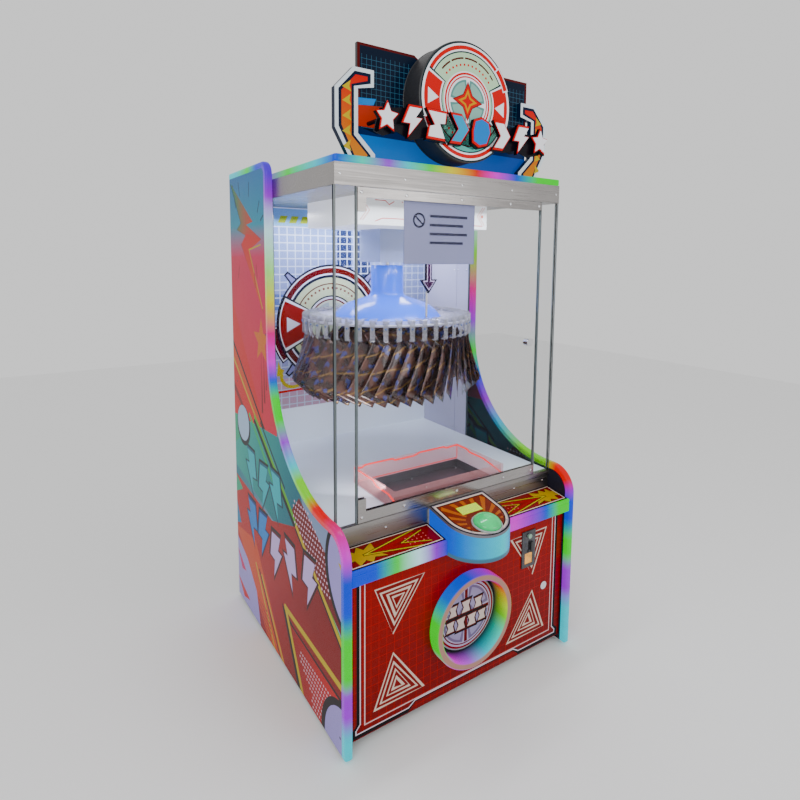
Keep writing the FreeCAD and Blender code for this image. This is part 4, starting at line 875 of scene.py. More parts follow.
# %% [markdown]
# ## Console: glowing skirt, button and window
#
# The console's skirt is a frosted D-shaped wall lit from within, blue on the left and pink to the
# right, with a grey lip below. The push button is a low dome in a flange, with a soft highlight.

# %% Skirt, button and window
def turned_shape(profile, centre, count=72, tone=(0.5, 0.5, 0.5), axis=(0, 0, 1), start=(1, 0, 0)):
    """A profile of (radius, height) carried round an axis; ends on the axis close to one point."""
    profile = np.asarray(profile, float)
    axis, start = np.array(axis, float), np.array(start, float)
    side = np.cross(axis, start)
    angles = np.linspace(0, 2 * np.pi, count, endpoint=False)
    around = np.cos(angles)[:, None] * start + np.sin(angles)[:, None] * side
    body = profile[profile[:, 0] > 1e-6]
    points = (np.array(centre, float) + body[:, None, :1] * around[None]
              + body[:, None, 1:] * axis[None, None]).reshape(-1, 3)
    closed = profile[0, 0] > 1e-6 and profile[-1, 0] > 1e-6
    faces = [face[::-1] for face in lattice(len(body), count, closed, True)]
    for end, row in ((0, 0), (-1, len(body) - 1)):
        if profile[end, 0] <= 1e-6:
            points = np.vstack([points, np.array(centre, float) + profile[end, 1] * axis])
            rim = np.arange(count) + row * count
            fan = np.stack([rim, np.roll(rim, -1), np.full(count, len(points) - 1)], 1)
            faces += (fan if end == -1 else fan[:, ::-1]).tolist()
    return points, faces, np.broadcast_to(np.array(tone, float), (len(points), 3))


def skirt_shape():
    """The D outline raised from its bottom to the sloped underside of the top, as a closed wall."""
    plan, inside = (np.vstack([[(-radius, -325.2)], arc((0, NOSE_MIDDLE), radius, 180, 360, 46),
                               [(radius, -325.2)]])
                    for radius in (NOSE_RADIUS, NOSE_RADIUS - 6))

    def under(spots):
        return CONSOLE_TOP + (spots[:, 1] - APRON_FACE) * math.tan(SLOPE) - 8.2 / math.cos(SLOPE)

    rows = []
    for share in np.linspace(0, 1, 10):
        height = SKIRT_LOW + (under(plan) - SKIRT_LOW) * share
        rows.append(np.column_stack([plan, height]))
    lip = np.column_stack([plan, np.full(len(plan), LIP_LOW)])
    rows = [np.column_stack([inside, under(inside)]), np.column_stack([inside, np.full(len(inside), 508.0)]),
            np.column_stack([inside, np.full(len(inside), LIP_LOW)]), lip,
            np.column_stack([plan, np.full(len(plan), LIP_HIGH)])] + rows
    grid = np.stack(rows)
    share = np.clip((plan[:, 0] + NOSE_RADIUS) / (2 * NOSE_RADIUS), 0, 1)
    glows = ink(60, 110, 255), ink(20, 190, 255), ink(70, 225, 255), ink(120, 180, 255), ink(255, 50, 170)
    side = np.stack([np.interp(share, [0, 0.25, 0.6, 0.82, 1], [glow[k] for glow in glows])
                     for k in range(3)], 1)
    tones = np.repeat(side[None], len(rows), axis=0)
    tones[:5] = ink(120, 150, 170) * 0.6
    faces = lattice(len(rows), len(plan), True, False)
    count = len(plan)
    ends = [[row * count for row in range(len(rows))],
            [row * count + count - 1 for row in range(len(rows))][::-1]]
    return grid.reshape(-1, 3), [face[::-1] for face in faces] + ends, tones.reshape(-1, 3)


points, faces, colours = skirt_shape()
make_piece("console_glow_wall", points, faces, FINISHES["glow_strip"], "cabinet", colours, False,
           "console_glow", ("console_skirt",))

UP = (0, -math.sin(SLOPE), math.cos(SLOPE))
button_centre = on_console(0, 154.0 / math.cos(SLOPE))
bezel = turned_shape([(42.3, 0), (42.3, 3.6), (44.0, 5.0), (46.6, 4.2), (48.0, 1.4), (48.0, 0)],
                     button_centre, 72, axis=UP)
make_piece("button_flange", bezel[0], bezel[1], FINISHES["bezel_plastic"], "cabinet", None, True,
           "bezel_plastic", ("button_bezel",))
angles = np.radians(np.linspace(4, 90, 14))
dome_profile = np.vstack([[(0, -9), (42, -9), (42, 6)],
                          np.stack([42 * np.cos(angles), 6 + 20 * np.sin(angles)], 1)[:-1], [(0, 26)]])
dome = turned_shape(dome_profile, button_centre, 72, axis=UP)
green = finish("button_green", (0.0, 0.50, 0.13), (0.12, 0.22), vary=0.3, cloud=28, coat=0.3, glow=0.5,
               grain=300, specular=0.3)
make_piece("button_cap", dome[0], dome[1], green, "button", None, True, "button_green", ("button_dome",))


def window_finish():
    """A lit display: a fine grid of cells over a yellow-green ground."""
    material, tree, shader, place = shader_start("display")
    cells = tree.nodes.new("ShaderNodeTexBrick")
    cells.inputs["Scale"].default_value = 260.0
    cells.inputs["Mortar Size"].default_value = 0.03
    cells.inputs["Color1"].default_value = (0.52, 0.70, 0.0, 1)
    cells.inputs["Color2"].default_value = (0.45, 0.64, 0.0, 1)
    cells.inputs["Mortar"].default_value = (0.24, 0.38, 0.0, 1)
    tree.links.new(place, cells.inputs["Vector"])
    tree.links.new(cells.outputs["Color"], shader.inputs["Base Color"])
    tree.links.new(cells.outputs["Color"], shader.inputs["Emission Color"])
    shader.inputs["Emission Strength"].default_value = 0.5
    shader.inputs["Roughness"].default_value = 0.12
    return material


FINISHES["display"] = window_finish()
print("console pieces made")

# %% [markdown]
# ## Outlet ring and flap
#
# The round outlet stands out of the door like a lit hoop: its wall glows through a full round of
# colours, and its front is a plain grey band. The flap inside carries a quartered disc.

# %% Ring and flap
(_, ring_front, _), _ = [np.array(p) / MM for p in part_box("outlet_ring")]
door_back = -375.0
ring_section = np.array([(-393.2, 150), (ring_front + 7, 150), (ring_front + 2.5, 148.8), (ring_front, 145.5),
                         (ring_front, 133), (ring_front + 2, 129.5), (ring_front + 6, 128),
                         (door_back + 3, 128), (door_back + 3, 133), (-393.2, 133)])
count = 96
angles = np.radians(np.arange(count) * 360.0 / count)
grid = np.zeros((len(ring_section), count, 3))
grid[:, :, 0] = ring_section[:, 1:2] * np.cos(angles)
grid[:, :, 1] = ring_section[:, 0:1]
grid[:, :, 2] = OUTLET_HEIGHT + ring_section[:, 1:2] * np.sin(angles)
ring_stops = [(0, ink(225, 255, 60)), (40, C_RED), (75, C_VIOLET), (100, C_BLUE), (135, ink(40, 120, 255)),
              (165, C_GREEN), (200, ink(60, 230, 120)), (232, C_MAGENTA), (262, ink(180, 120, 255)),
              (292, ink(90, 220, 255)), (325, C_TEAL), (345, ink(190, 255, 90)), (360, ink(225, 255, 60))]
where = np.array([stop[0] for stop in ring_stops])
round_tone = np.stack([np.interp(np.degrees(angles), where, [stop[1][k] for stop in ring_stops])
                       for k in range(3)], 1)
tones = np.repeat(round_tone[None], len(ring_section), axis=0)
tones[3:5] = ink(178, 150, 142) * 0.75
tones[7:9] = ink(30, 30, 36)
lugs = []
for low_x, high_x in ((-38, -30.3), (30.3, 38)):
    block = np.array([(x, y, z) for x in (low_x, high_x) for y in (-383.0, -372.0) for z in (376.5, 383.0)],
                     float)
    lugs.append((block, [[0, 1, 3, 2], [4, 6, 7, 5], [0, 4, 5, 1], [2, 3, 7, 6], [0, 2, 6, 4], [1, 5, 7, 3]],
                 ink(30, 30, 36)))
points, faces, colours = gathered([(grid.reshape(-1, 3), lattice(len(ring_section), count, True, True),
                                    tones.reshape(-1, 3))] + lugs)
make_piece("outlet_glow_ring", points, faces, FINISHES["glow_strip"], "front_door", colours, False,
           "ring_glow", ("outlet_ring",))


def flap_art():
    """A quartered disc: rings, a cross bar and bolt shapes over the four fields."""
    shapes = disc(0, 0, 112, ink(150, 20, 30), 56) + disc(0, 0, 106, ink(196, 190, 206), 56)
    shapes += disc(0, 0, 100, ink(120, 14, 24), 56) + disc(0, 0, 96, ink(196, 188, 208), 56)
    for start in (8, 98, 188, 278):
        shapes += ring_part(0, 0, 22, 92, start, start + 74, ink(128, 118, 140))
        shapes += ring_part(0, 0, 30, 84, start + 8, start + 66, ink(168, 160, 184))
    for turn in (0, 90):
        reach = np.array([(-94, -6), (94, -6), (94, 6), (-94, 6)]) if turn == 0 else np.array([(-6, -94),
            (6, -94), (6, 94), (-6, 94)])
        shapes.append((reach.astype(float), ink(110, 12, 22)))
    for centre, grow in (((-52, 22), 0.9), ((0, 24), 1.0), ((50, 22), 0.9), ((-62, -26), 0.9),
                         ((-20, -28), 1.0), ((24, -28), 1.0), ((66, -26), 0.9)):
        lean = np.array([(-18, 20), (20, 22), (12, 2), (18, -20), (-20, -20), (-10, 0)]) * grow
        for size, tone in ((1.35, BLACK), (1.12, ink(90, 10, 20)), (0.9, ink(222, 208, 204))):
            shapes.append((lean * size + np.array(centre), tone))
    return shapes


film("outlet_flap_print", flap_art(), (0, FLAP_FACE, OUTLET_HEIGHT), (1, 0, 0), (0, 0, 1), "outlet_flap", 0.5,
     (), "print_film", "flap_print")
print("ring and flap made")

# %% [markdown]
# ## Marquee
#
# Above the header stand a dark plate with a grid, a round target with a deep black rim, two
# bracket-shaped plates, and a row of slanted cut-outs. The lettering of such signs is left out:
# the cut-outs are stars, bolts, chevrons and other plain shapes in white, blue, red and black.

# %% Target disc
def target_art(radius):
    """Rings, dots, a quartered hub, and two wedges with pointers, about the middle."""
    share = radius / 172.0
    shapes = disc(0, 0, 172, ink(24, 44, 48), 72) + disc(0, 0, 168, WHITE, 72) + disc(0, 0, 162, RED, 72)
    shapes += disc(0, 0, 151, WHITE, 72) + disc(0, 0, 146, ink(26, 60, 60), 72)
    shapes += [(arc((0, 0), 142, 0, 355, 72), fade(ink(150, 205, 196), (0, -120), ink(206, 226, 204),
        (0, 60)))]
    shapes += ring_part(0, 0, 124, 129, 40, 140, MAROON, 20) + ring_part(0, 0, 124, 128, 212, 330, MAROON, 20)
    for start in (48, 72, 96, 120):
        shapes += ring_part(0, 0, 121, 132, start, start + 2.6, ink(206, 226, 204))
    for angle in list(range(42, 140, 8)) + list(range(212, 330, 9)):
        shapes += disc(108 * math.cos(math.radians(angle)), 108 * math.sin(math.radians(angle)), 3.6, RED, 8)
    for sign, middle in ((-1, 180), (1, 0)):
        shapes += ring_part(0, 0, 96, 162, middle - 30, middle + 30, ink(26, 60, 60), 14)
        shapes += ring_part(0, 0, 99, 162, middle - 28, middle + 28, WHITE, 14)
        shapes += ring_part(0, 0, 104, 160, middle - 25.5, middle + 25.5, RED, 14)
        shapes += poly(WHITE, (sign * 146, 23), (sign * 146, -23), (sign * 108, 0))
    for start in (20, 200, 310):
        shapes += ring_part(0, 0, 150, 171, start, start + 26, WHITE, 8) + ring_part(0, 0, 153, 168,
            start + 1.4, start + 24.6, RED, 8)
    shapes += disc(0, 0, 90, WHITE, 56) + disc(0, 0, 86, RED, 56) + disc(0, 0, 80, WHITE, 56) + disc(0, 0, 76,
        RED, 56)
    shapes += disc(0, 0, 72, WHITE, 56)
    for start in (6, 96, 186, 276):
        shapes += ring_part(0, 0, 14, 66, start, start + 78, ink(128, 160, 156), 14)
        shapes += ring_part(0, 0, 22, 60, start + 7, start + 71, ink(168, 196, 188), 14)
    for grow, tone in ((58, ink(120, 8, 12)), (52, RED), (36, ink(250, 190, 40)), (22, RED)):
        shapes += star(0, 4, grow, tone, 4, 0.46, 90)
    return [(np.asarray(outline) * share, tone) for outline, tone in shapes]


(low_x, disc_front, low_z), (high_x, disc_back, high_z) = [np.array(p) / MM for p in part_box("marquee_disc")]
disc_radius = (high_x - low_x) / 2
disc_middle = (low_z + high_z) / 2
rim = turned_shape([(0, 0), (disc_radius - 3, 0), (disc_radius, 3), (disc_radius, 10),
                    (disc_radius - 1.5, 12), (disc_radius - 1.5, disc_back - disc_front - 2),
                    (disc_radius, disc_back - disc_front), (0, disc_back - disc_front)],
                   (0, disc_front + 0.6, disc_middle), 96, axis=(0, 1, 0), start=(1, 0, 0))
rim[0][:, 1] = np.minimum(rim[0][:, 1], disc_back)
make_piece("marquee_disc_rim", rim[0], rim[1], FINISHES["black_plastic"], "cabinet", None, False,
           "target_print", ("marquee_disc",))
film("marquee_disc_print", target_art(disc_radius - 3.0), (0, disc_front + 0.6, disc_middle), (1, 0, 0),
     (0, 0, 1), "cabinet", 0.6, (), "lit_print", "target_print")

# %% [markdown]
# The back plate is a lit print, the brackets are thick printed boards, and each cut-out is three
# boards stacked: black behind, red for the outline, and a white or blue face in front.

# %% Plate, brackets and cut-outs
def plate_art(half, low, high, notch):
    """A dark grid above a blue and teal horizon, with a maroon border."""
    outline = [(-half, low), (half, low), (half, high), (notch[0], high), (notch[1], high - 22),
               (-notch[1], high - 22), (-notch[0], high), (-half, high)]
    shapes = poly(MAROON, *outline) + poly(ink(10, 24, 42),
        *[(x * 0.976, z - 7 if z > 1700 else z) for x, z in outline])
    for x in np.arange(-308, 312, 15.4):
        shapes += stroke(((x, 1742), (x, 1938)), 1.1, ink(84, 110, 128))
    for z in np.arange(1742, 1940, 15.4):
        shapes += stroke(((-310, z), (310, z)), 1.1, ink(84, 110, 128))
    shapes += poly(fade(ink(20, 130, 200), (-300, 1700), ink(4, 84, 160), (300, 1660)), (-half, low),
                   (half, low), (half, 1716), (-half, 1722))
    shapes += poly(ink(8, 44, 86), (-half, 1722), (half, 1716), (half, 1742), (250, 1726), (180, 1746),
                   (90, 1724), (0, 1748), (-100, 1726), (-190, 1746), (-260, 1728), (-half, 1744))
    shapes += poly(fade(ink(196, 92, 24), (-322, 1790), ink(60, 30, 26), (-150, 1790)), (-half, 1744),
                   (-120, 1744), (-170, 1812), (-half, 1800))
    shapes += poly(ink(40, 150, 220), (-half, 1800), (-270, 1806), (-262, 1824), (-half, 1820))
    shapes += poly(ink(130, 14, 20), (-half, low), (-120, low), (-130, low + 12), (-half, low + 14))
    shapes += poly(ink(130, 14, 20), (-20, low), (150, low), (160, low + 10), (-20, low + 12))
    return shapes


(low_x, plate_front, low_z), (high_x, _, high_z) = [np.array(p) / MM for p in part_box("marquee_plate")]
film("marquee_plate_print", plate_art(high_x, low_z, high_z, (high_x - 188, high_x - 222)),
     (0, plate_front, 0), (1, 0, 0), (0, 0, 1), "cabinet", 0.5,
     [arc((0, disc_middle), disc_radius + 0.5, 0, 355, 72)], "lit_print", "marquee_print")


def bracket_art(sign):
    """The bracket's outline in white, navy inside it, and an orange field with yellow flames."""
    outline = [(-300, 1630), (-276, 1630), (-276, 1668), (-330, 1720), (-330, 1838), (-280, 1848),
               (-280, 1893), (-344, 1893), (-400, 1833), (-400, 1728), (-344, 1630)]
    inner = [(-306, 1640), (-290, 1644), (-290, 1664), (-342, 1714), (-342, 1842), (-290, 1856), (-290, 1882),
             (-340, 1882), (-389, 1829), (-389, 1732), (-338, 1640)]
    core = [(-308, 1650), (-300, 1664), (-350, 1712), (-350, 1846), (-300, 1862), (-300, 1873), (-337, 1873),
            (-380, 1826), (-380, 1736), (-336, 1650)]
    shapes = poly(ink(226, 232, 236), *outline) + poly(NAVY, *inner)
    shapes += poly(fade(ink(250, 170, 30), (-340, 1660), ink(236, 70, 16), (-340, 1860)), *core)
    for z in (1680, 1720, 1760, 1800, 1836):
        shapes += poly(YELLOW, (-378, z), (-352, z + 20), (-356, z + 4), (-350, z - 10))
    if sign > 0:
        shapes = [(np.asarray(spots) * np.array([-1.0, 1.0]),
                   (lambda s, t=tone: t(s * np.array([-1.0, 1.0]))) if callable(tone) else tone)
                  for spots, tone in shapes]
    return shapes


bracket_front, bracket_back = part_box("marquee_brackets")[0][1] / MM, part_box("marquee_brackets")[1][1] / MM
bracket_parts = [printed_slab(*print_cut(bracket_art(sign)), (0, bracket_front, 0), (1, 0, 0), (0, 0, 1),
                              bracket_back - bracket_front, ink(20, 30, 50)) for sign in (-1, 1)]
points, faces, colours = joined_slabs(bracket_parts)
make_piece("marquee_bracket_pair", points, faces, FINISHES["lit_print"], "cabinet", colours, False,
           "bracket_print", ("marquee_brackets",))


def badge_shape(kind):
    """One cut-out's outline inside a 68 by 96 slanted field, about its own middle."""
    if kind == "bolt":
        return [(-8, 46), (30, 46), (8, 12), (28, 12), (-16, -48), (-8, -8), (-30, -8)]
    if kind == "chevron":
        return [(-24, 46), (8, 46), (30, 2), (0, -46), (-32, -46), (-4, 0)]
    if kind == "block":
        return [(-26, 46), (32, 44), (26, 8), (8, 6), (22, -44), (-32, -42), (-24, -6), (-6, 0)]
    if kind == "drop":
        return [(-20, 38), (2, 48), (26, 36), (31, 4), (16, -38), (-10, -47), (-30, -34), (-29, 2)]
    angles = np.radians(90 + 36 * np.arange(10))
    reach = np.where(np.arange(10) % 2 == 0, 46.0, 23.0)
    return list(zip(0.7 * reach * np.cos(angles) + reach * np.sin(angles) * 0.08, reach * np.sin(angles)))


(low_x, badge_front, low_z), (high_x, badge_back, high_z) = [np.array(p) / MM
    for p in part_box("marquee_badges")]
badge_slabs, BADGE_THICK, BADGE_HALF = [], 20.0, 34.0
badge_span = high_x - low_x - 2 * BADGE_HALF
badge_row = (("star", WHITE), ("bolt", WHITE), ("block", WHITE), ("chevron", ink(110, 190, 240)),
             ("drop", ink(90, 150, 226)), ("chevron", WHITE), ("bolt", WHITE), ("star", WHITE))
for index, (kind, tone) in enumerate(badge_row):
    middle = np.array([low_x + BADGE_HALF + index * badge_span / 7, (low_z + high_z) / 2])
    outline = np.array(badge_shape(kind))
    slant = np.array([outline[:, 0] * 1.3 - outline[:, 1] * 0.08, outline[:, 1]]).T
    for share, ink_of, front, back in ((1.0, BLACK, 6.0, BADGE_THICK), (0.93, RED, 3.0, 6.0),
                                       (0.78, tone, 0.0, 3.0)):
        flat = slant * share + middle + (np.array([2.0, -1.6]) if share == 1.0 else 0)
        flat[:, 0] = np.clip(flat[:, 0], low_x, high_x)
        flat[:, 1] = np.clip(flat[:, 1], low_z, high_z)
        badge_slabs.append(printed_slab(*print_cut([(flat, ink_of)]), (0, badge_front + front, 0), (1, 0, 0),
                                        (0, 0, 1), back - front, ink_of))
backing = [(-318, 1716), (-290, 1706), (-246, 1722), (-200, 1704), (-150, 1720), (-96, 1704), (-40, 1718),
           (20, 1704), (84, 1720), (140, 1706), (196, 1720), (250, 1704), (300, 1716), (318, 1742),
           (300, 1786), (250, 1774), (190, 1790), (120, 1776), (60, 1792), (-10, 1776), (-80, 1792),
           (-150, 1776), (-220, 1790), (-300, 1778)]
badge_slabs.append(printed_slab(*print_cut([(np.array(backing, float), ink(14, 12, 18))]),
                                (0, badge_front + BADGE_THICK, 0), (1, 0, 0), (0, 0, 1), 4.0, BLACK))
for x in (low_x + BADGE_HALF, low_x + BADGE_HALF + badge_span / 7,
          high_x - BADGE_HALF - badge_span / 7, high_x - BADGE_HALF):
    post = turned_shape([(0, 0), (6, 0), (6, badge_back - badge_front - 24),
                         (0, badge_back - badge_front - 24)],
                        (x, badge_front + 24, (low_z + high_z) / 2), 16, axis=(0, 1, 0))
    badge_slabs.append((post[0], post[1], np.tile(BLACK, (sum(len(face) for face in post[1]), 1))))
points, faces, colours = joined_slabs(badge_slabs)
make_piece("marquee_cut_outs", points, faces, FINISHES["lit_print"], "cabinet", colours, False, "badge_print",
           ("marquee_badges",))
print("marquee made")

# %% [markdown]
# ## Inside the case: wall print, liners and light box
#
# The back wall carries a large target over a grid, cut off where plain lit board begins. The
# sides are lined with pale board held by small screws, and the ceiling light box has a face of
# thin red lines.

# %% Wall print
def wall_art(left, right, low, high):
    """A grid, hazard bars, a broad target with tabs, and small yellow and red marks."""
    shapes = poly(fade(ink(150, 166, 206), (0, high), ink(176, 176, 206), (0, low)), (left, low),
                  (right, low), (right, high), (left, high))
    shapes += poly(ink(196, 172, 186), (left, low), (right, low), (right, 892), (left, 892))
    for box_x in (-30, 60):
        shapes += poly(ink(56, 64, 96), (box_x, 1290), (box_x + 66, 1290), (box_x + 66, 1490), (box_x, 1490))
    shapes += poly(ink(120, 132, 176), (left, 1170), (-250, 1170), (-250, 1230), (left, 1240))
    for x in np.arange(left + 12, right, 33.0):
        shapes += stroke(((x, low), (x, high)), 4.2, ink(216, 224, 244))
    for z in np.arange(low + 16, high, 31.0):
        shapes += stroke(((left, z), (right, z)), 4.2, ink(216, 224, 244))
    shapes += poly(ink(168, 200, 236), (left, 1500), (-140, 1500), (-140, 1571), (left, 1571))
    for start in (-286, -240, -194):
        shapes += poly(ink(206, 220, 10), (start, 1512), (start + 30, 1512), (start + 42, 1540),
                       (start + 12, 1540))
    middle_x, middle_z = -58.0, 1110.0

    def hoop(inner, outer, tone, start=0, end=360):
        if end - start == 360:
            return target_ring(middle_x, middle_z, inner, outer, tone)
        return ring_part(middle_x, middle_z, inner, outer, start, end, tone)

    for angle in (134, 226, 46, 314):
        cosine, sine = math.cos(math.radians(angle)), math.sin(math.radians(angle))
        spike = [(middle_x + reach * cosine - aside * sine, middle_z + reach * sine + aside * cosine)
                 for reach, aside in ((225, -16), (282, -8), (282, 8), (225, 16))]
        shapes += bordered(spike, ink(150, 150, 190), ink(20, 18, 30), 7)
    shapes += hoop(228, 266, ink(20, 18, 30), 181, 216) + hoop(234, 260, WHITE, 182, 215) + hoop(238, 256,
        MAROON, 183, 214)
    shapes += disc(middle_x, middle_z, 240, ink(20, 18, 30), 72) + disc(middle_x, middle_z, 232,
        ink(226, 226, 238), 72)
    shapes += disc(middle_x, middle_z, 226, ink(96, 14, 26), 72) + disc(middle_x, middle_z, 204,
        ink(226, 226, 238), 72)
    shapes += disc(middle_x, middle_z, 197, ink(20, 22, 40), 72) + disc(middle_x, middle_z, 186,
        ink(214, 220, 196), 72)
    shapes += hoop(158, 163, ink(96, 14, 26), 40, 160) + hoop(158, 163, ink(96, 14, 26), 205, 330)
    for angle in list(range(40, 166, 8)) + list(range(196, 340, 9)):
        shapes += disc(middle_x + 143 * math.cos(math.radians(angle)),
                       middle_z + 143 * math.sin(math.radians(angle)), 5, ink(110, 18, 28), 8)
    for centre in (180, 0):
        shapes += hoop(112, 232, ink(20, 18, 30), centre - 30, centre + 30) + hoop(118, 228, WHITE,
            centre - 28, centre + 28)
        shapes += hoop(124, 224, ink(150, 12, 28), centre - 25, centre + 25)
        sign = -1 if centre == 180 else 1
        shapes += poly(ink(222, 222, 232), (middle_x + sign * 196, middle_z + 30),
                       (middle_x + sign * 196, middle_z - 30), (middle_x + sign * 138, middle_z))
    shapes += disc(middle_x, middle_z, 112, ink(20, 18, 30), 60) + disc(middle_x, middle_z, 106,
        ink(222, 222, 232), 60)
    shapes += disc(middle_x, middle_z, 98, ink(96, 14, 26), 60) + disc(middle_x, middle_z, 92,
        ink(206, 212, 200), 60)
    shapes += hoop(26, 84, ink(168, 176, 180), 8, 82) + hoop(26, 84, ink(168, 176, 180), 98, 172)
    shapes += ring_part(-230, 905, 44, 58, 150, 330, ink(230, 214, 30)) + poly(ink(240, 226, 60), (-300, 905),
        (-292, 965), (-270, 900))
    shapes += stroke(((-300, 838), (-186, 842)), 9, ink(226, 40, 60))
    return shapes


(low_x, wall_y, low_z), (high_x, _, high_z) = [np.array(p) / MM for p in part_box("back_wall")]
film("back_wall_print", wall_art(low_x + 1, high_x - 1, 768, 1568), (0, wall_y, 0), (1, 0, 0), (0, 0, 1),
     "cabinet", 0.6, slot="wall_print")


def slab_box(low, high):
    """A closed block between two corners, as points and faces."""
    low, high = np.array(low, float), np.array(high, float)
    picks = np.array([[i, j, k] for i in (0, 1) for j in (0, 1) for k in (0, 1)])
    points = np.where(picks == 0, low, high)
    return points, [[0, 1, 3, 2], [4, 6, 7, 5], [0, 4, 5, 1], [2, 3, 7, 6], [0, 2, 6, 4], [1, 5, 7, 3]], (0.5,
        0.5, 0.5)


liner_parts = []
for sign in (-1, 1):
    for y_low, y_high in ((150.0, 225.0), (227.0, wall_y - 0.5)):
        for z_low, z_high in ((622.5, 1094.0), (1096.0, 1570.5)):
            xs = sorted((sign * 425.8, sign * 422.8))
            liner_parts.append(slab_box((xs[0], y_low, z_low), (xs[1], y_high, z_high)))
points, faces, _ = gathered(liner_parts)
make_piece("case_liners", points, faces, FINISHES["liner_board"], "cabinet", slot="white_board")

(low_x, light_front, low_z), (high_x, _, high_z) = [np.array(p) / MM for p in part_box("light_box")]


def light_face_art():
    """A lit face with stepped red lines, bracket marks at the ends and a row of dashes."""
    shapes = poly(ink(246, 248, 255), (low_x, low_z), (high_x, low_z), (high_x, high_z), (low_x, high_z))
    middle = (low_z + high_z) / 2
    tone = ink(206, 60, 60)
    shapes += stroke(((-196, low_z + 12), (-170, low_z + 22), (60, low_z + 22), (92, low_z + 12),
                      (240, low_z + 12)), 2.6, tone)
    shapes += stroke(((-196, high_z - 12), (-160, high_z - 12), (-146, high_z - 24), (-128, high_z - 14)),
                     2.6, tone)
    for k in range(9):
        shapes += disc(-96 + 22 * k, high_z - 14, 2.4, tone, 6)
    for sign in (-1, 1):
        for offset in (0, 9):
            shapes += stroke([(sign * (250 - offset), high_z - 14), (sign * (226 - offset), middle),
                              (sign * (250 - offset), low_z + 14)], 1.8, ink(226, 140, 130))
        shapes += disc(sign * 238, middle, 6, ink(226, 150, 140), 8)
    return shapes


film("light_box_front_print", light_face_art(), (0, light_front, 0), (1, 0, 0), (0, 0, 1), "cabinet", 0.5, (),
     "lit_print", "light_panel")
print("case lining made")

# %% [markdown]
# The fence round the hopper is clear board whose cut edge glows red. The edge steps up and down,
# so a thin rod follows each run of it, and dimmer rods lie in the corners. Cut glass looks darker
# along its edge than through its face, so each upright edge of a pane gets a slim dark bar.

# %% Lit fence edge and cut glass edges
def rod(start, end, radius, tone):
    """A round bar between two points."""
    start, end = np.array(start, float), np.array(end, float)
    length = np.linalg.norm(end - start)
    axis = (end - start) / length
    aside = np.cross(axis, (0, 0, 1.0) if abs(axis[2]) < 0.9 else (1.0, 0, 0))
    points, faces = turned_shape([(0, 0), (radius, 0), (radius, length), (0, length)], start, 10, axis=axis,
                                 start=aside / np.linalg.norm(aside))[:2]
    return points, faces, tone


(low_x, low_y, low_z), (high_x, high_y, high_z) = [np.array(p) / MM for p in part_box("hopper_fence")]
left, right, near, far = low_x + 2.5, high_x - 2.5, low_y + 2.5, high_y - 2.5
fence_route = [(left, near, 52), (left, near, 30), (left, near + 34, 18), (left, near + 104, 18),
               (left, near + 128, 6), (left, far, 6), (left + 26, far, 10), (left + 40, far, 3),
               (left + 150, far, 3), (left + 160, far, 10), (left + 240, far, 10), (left + 268, far, 2),
               (right - 62, far, 2), (right - 54, far, 8), (right, far, 5), (right, far - 60, 5),
               (right, far - 74, 12), (right, far - 150, 12), (right, near + 40, 24), (right, near, 34),
               (right, near, 52)]
fence_route = np.array([(x, y, high_z - drop) for x, y, drop in fence_route])
LIT_RED, DIM_RED = ink(255, 70, 40) * 2.2, ink(240, 16, 20) * 1.5
fence_rods = [rod(a, b, 2.8, LIT_RED) for a, b in zip(fence_route, fence_route[1:])]
fence_rods.append(rod((right, far, high_z - 6), (right, far, low_z + 2), 1.6, DIM_RED))
fence_rods.append(rod((left + 3, far, low_z + 3), (right - 3, far, low_z + 3), 1.6, DIM_RED))
points, faces, colours = gathered(fence_rods)
make_piece("fence_lit_edge", points, faces, FINISHES["glow_strip"], "cabinet", colours, False, "led_diffuser")


def glass_edges(name, node_name, body):
    """A slim dark bar along each upright edge of a pane, where the cut glass looks darker than its face."""
    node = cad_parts[node_name]
    spots = np.empty(len(node.data.vertices) * 3)
    node.data.vertices.foreach_get("co", spots)
    place = np.array(node.matrix_world)
    spots = (spots.reshape(-1, 3) @ place[:3, :3].T + place[:3, 3]) / MM
    low, high = spots[:, 2].min(), spots[:, 2].max()
    corners = np.unique(np.round(spots[spots[:, 2] > high - 0.01][:, :2], 1), axis=0)
    print(name, len(corners), "edges")
    points, faces, _ = gathered([slab_box((x - 1.3, y - 1.3, low), (x + 1.3, y + 1.3, high))
                                 for x, y in corners])
    return make_piece(name, points, faces, FINISHES["glass_edge"], body, None, False, "clear_glass")


glass_edges("corner_glass_edges", "corner_glass", "cabinet")
glass_edges("side_glass_edges", "side_glass", "cabinet")
glass_edges("door_glass_edges", "glass_door", "glass_door")

# %% [markdown]
# ## Carousel: dome, clips and packets
#
# The dome is a glossy blue shell turned from one smooth profile. Each clip is a clear moulding: a
# seat with two ears, a lever, a finger over the ring's edge and a toe. The packets are thin foil
# pouches with crimped ends; each is a closed pillow whose faces swell and crease.

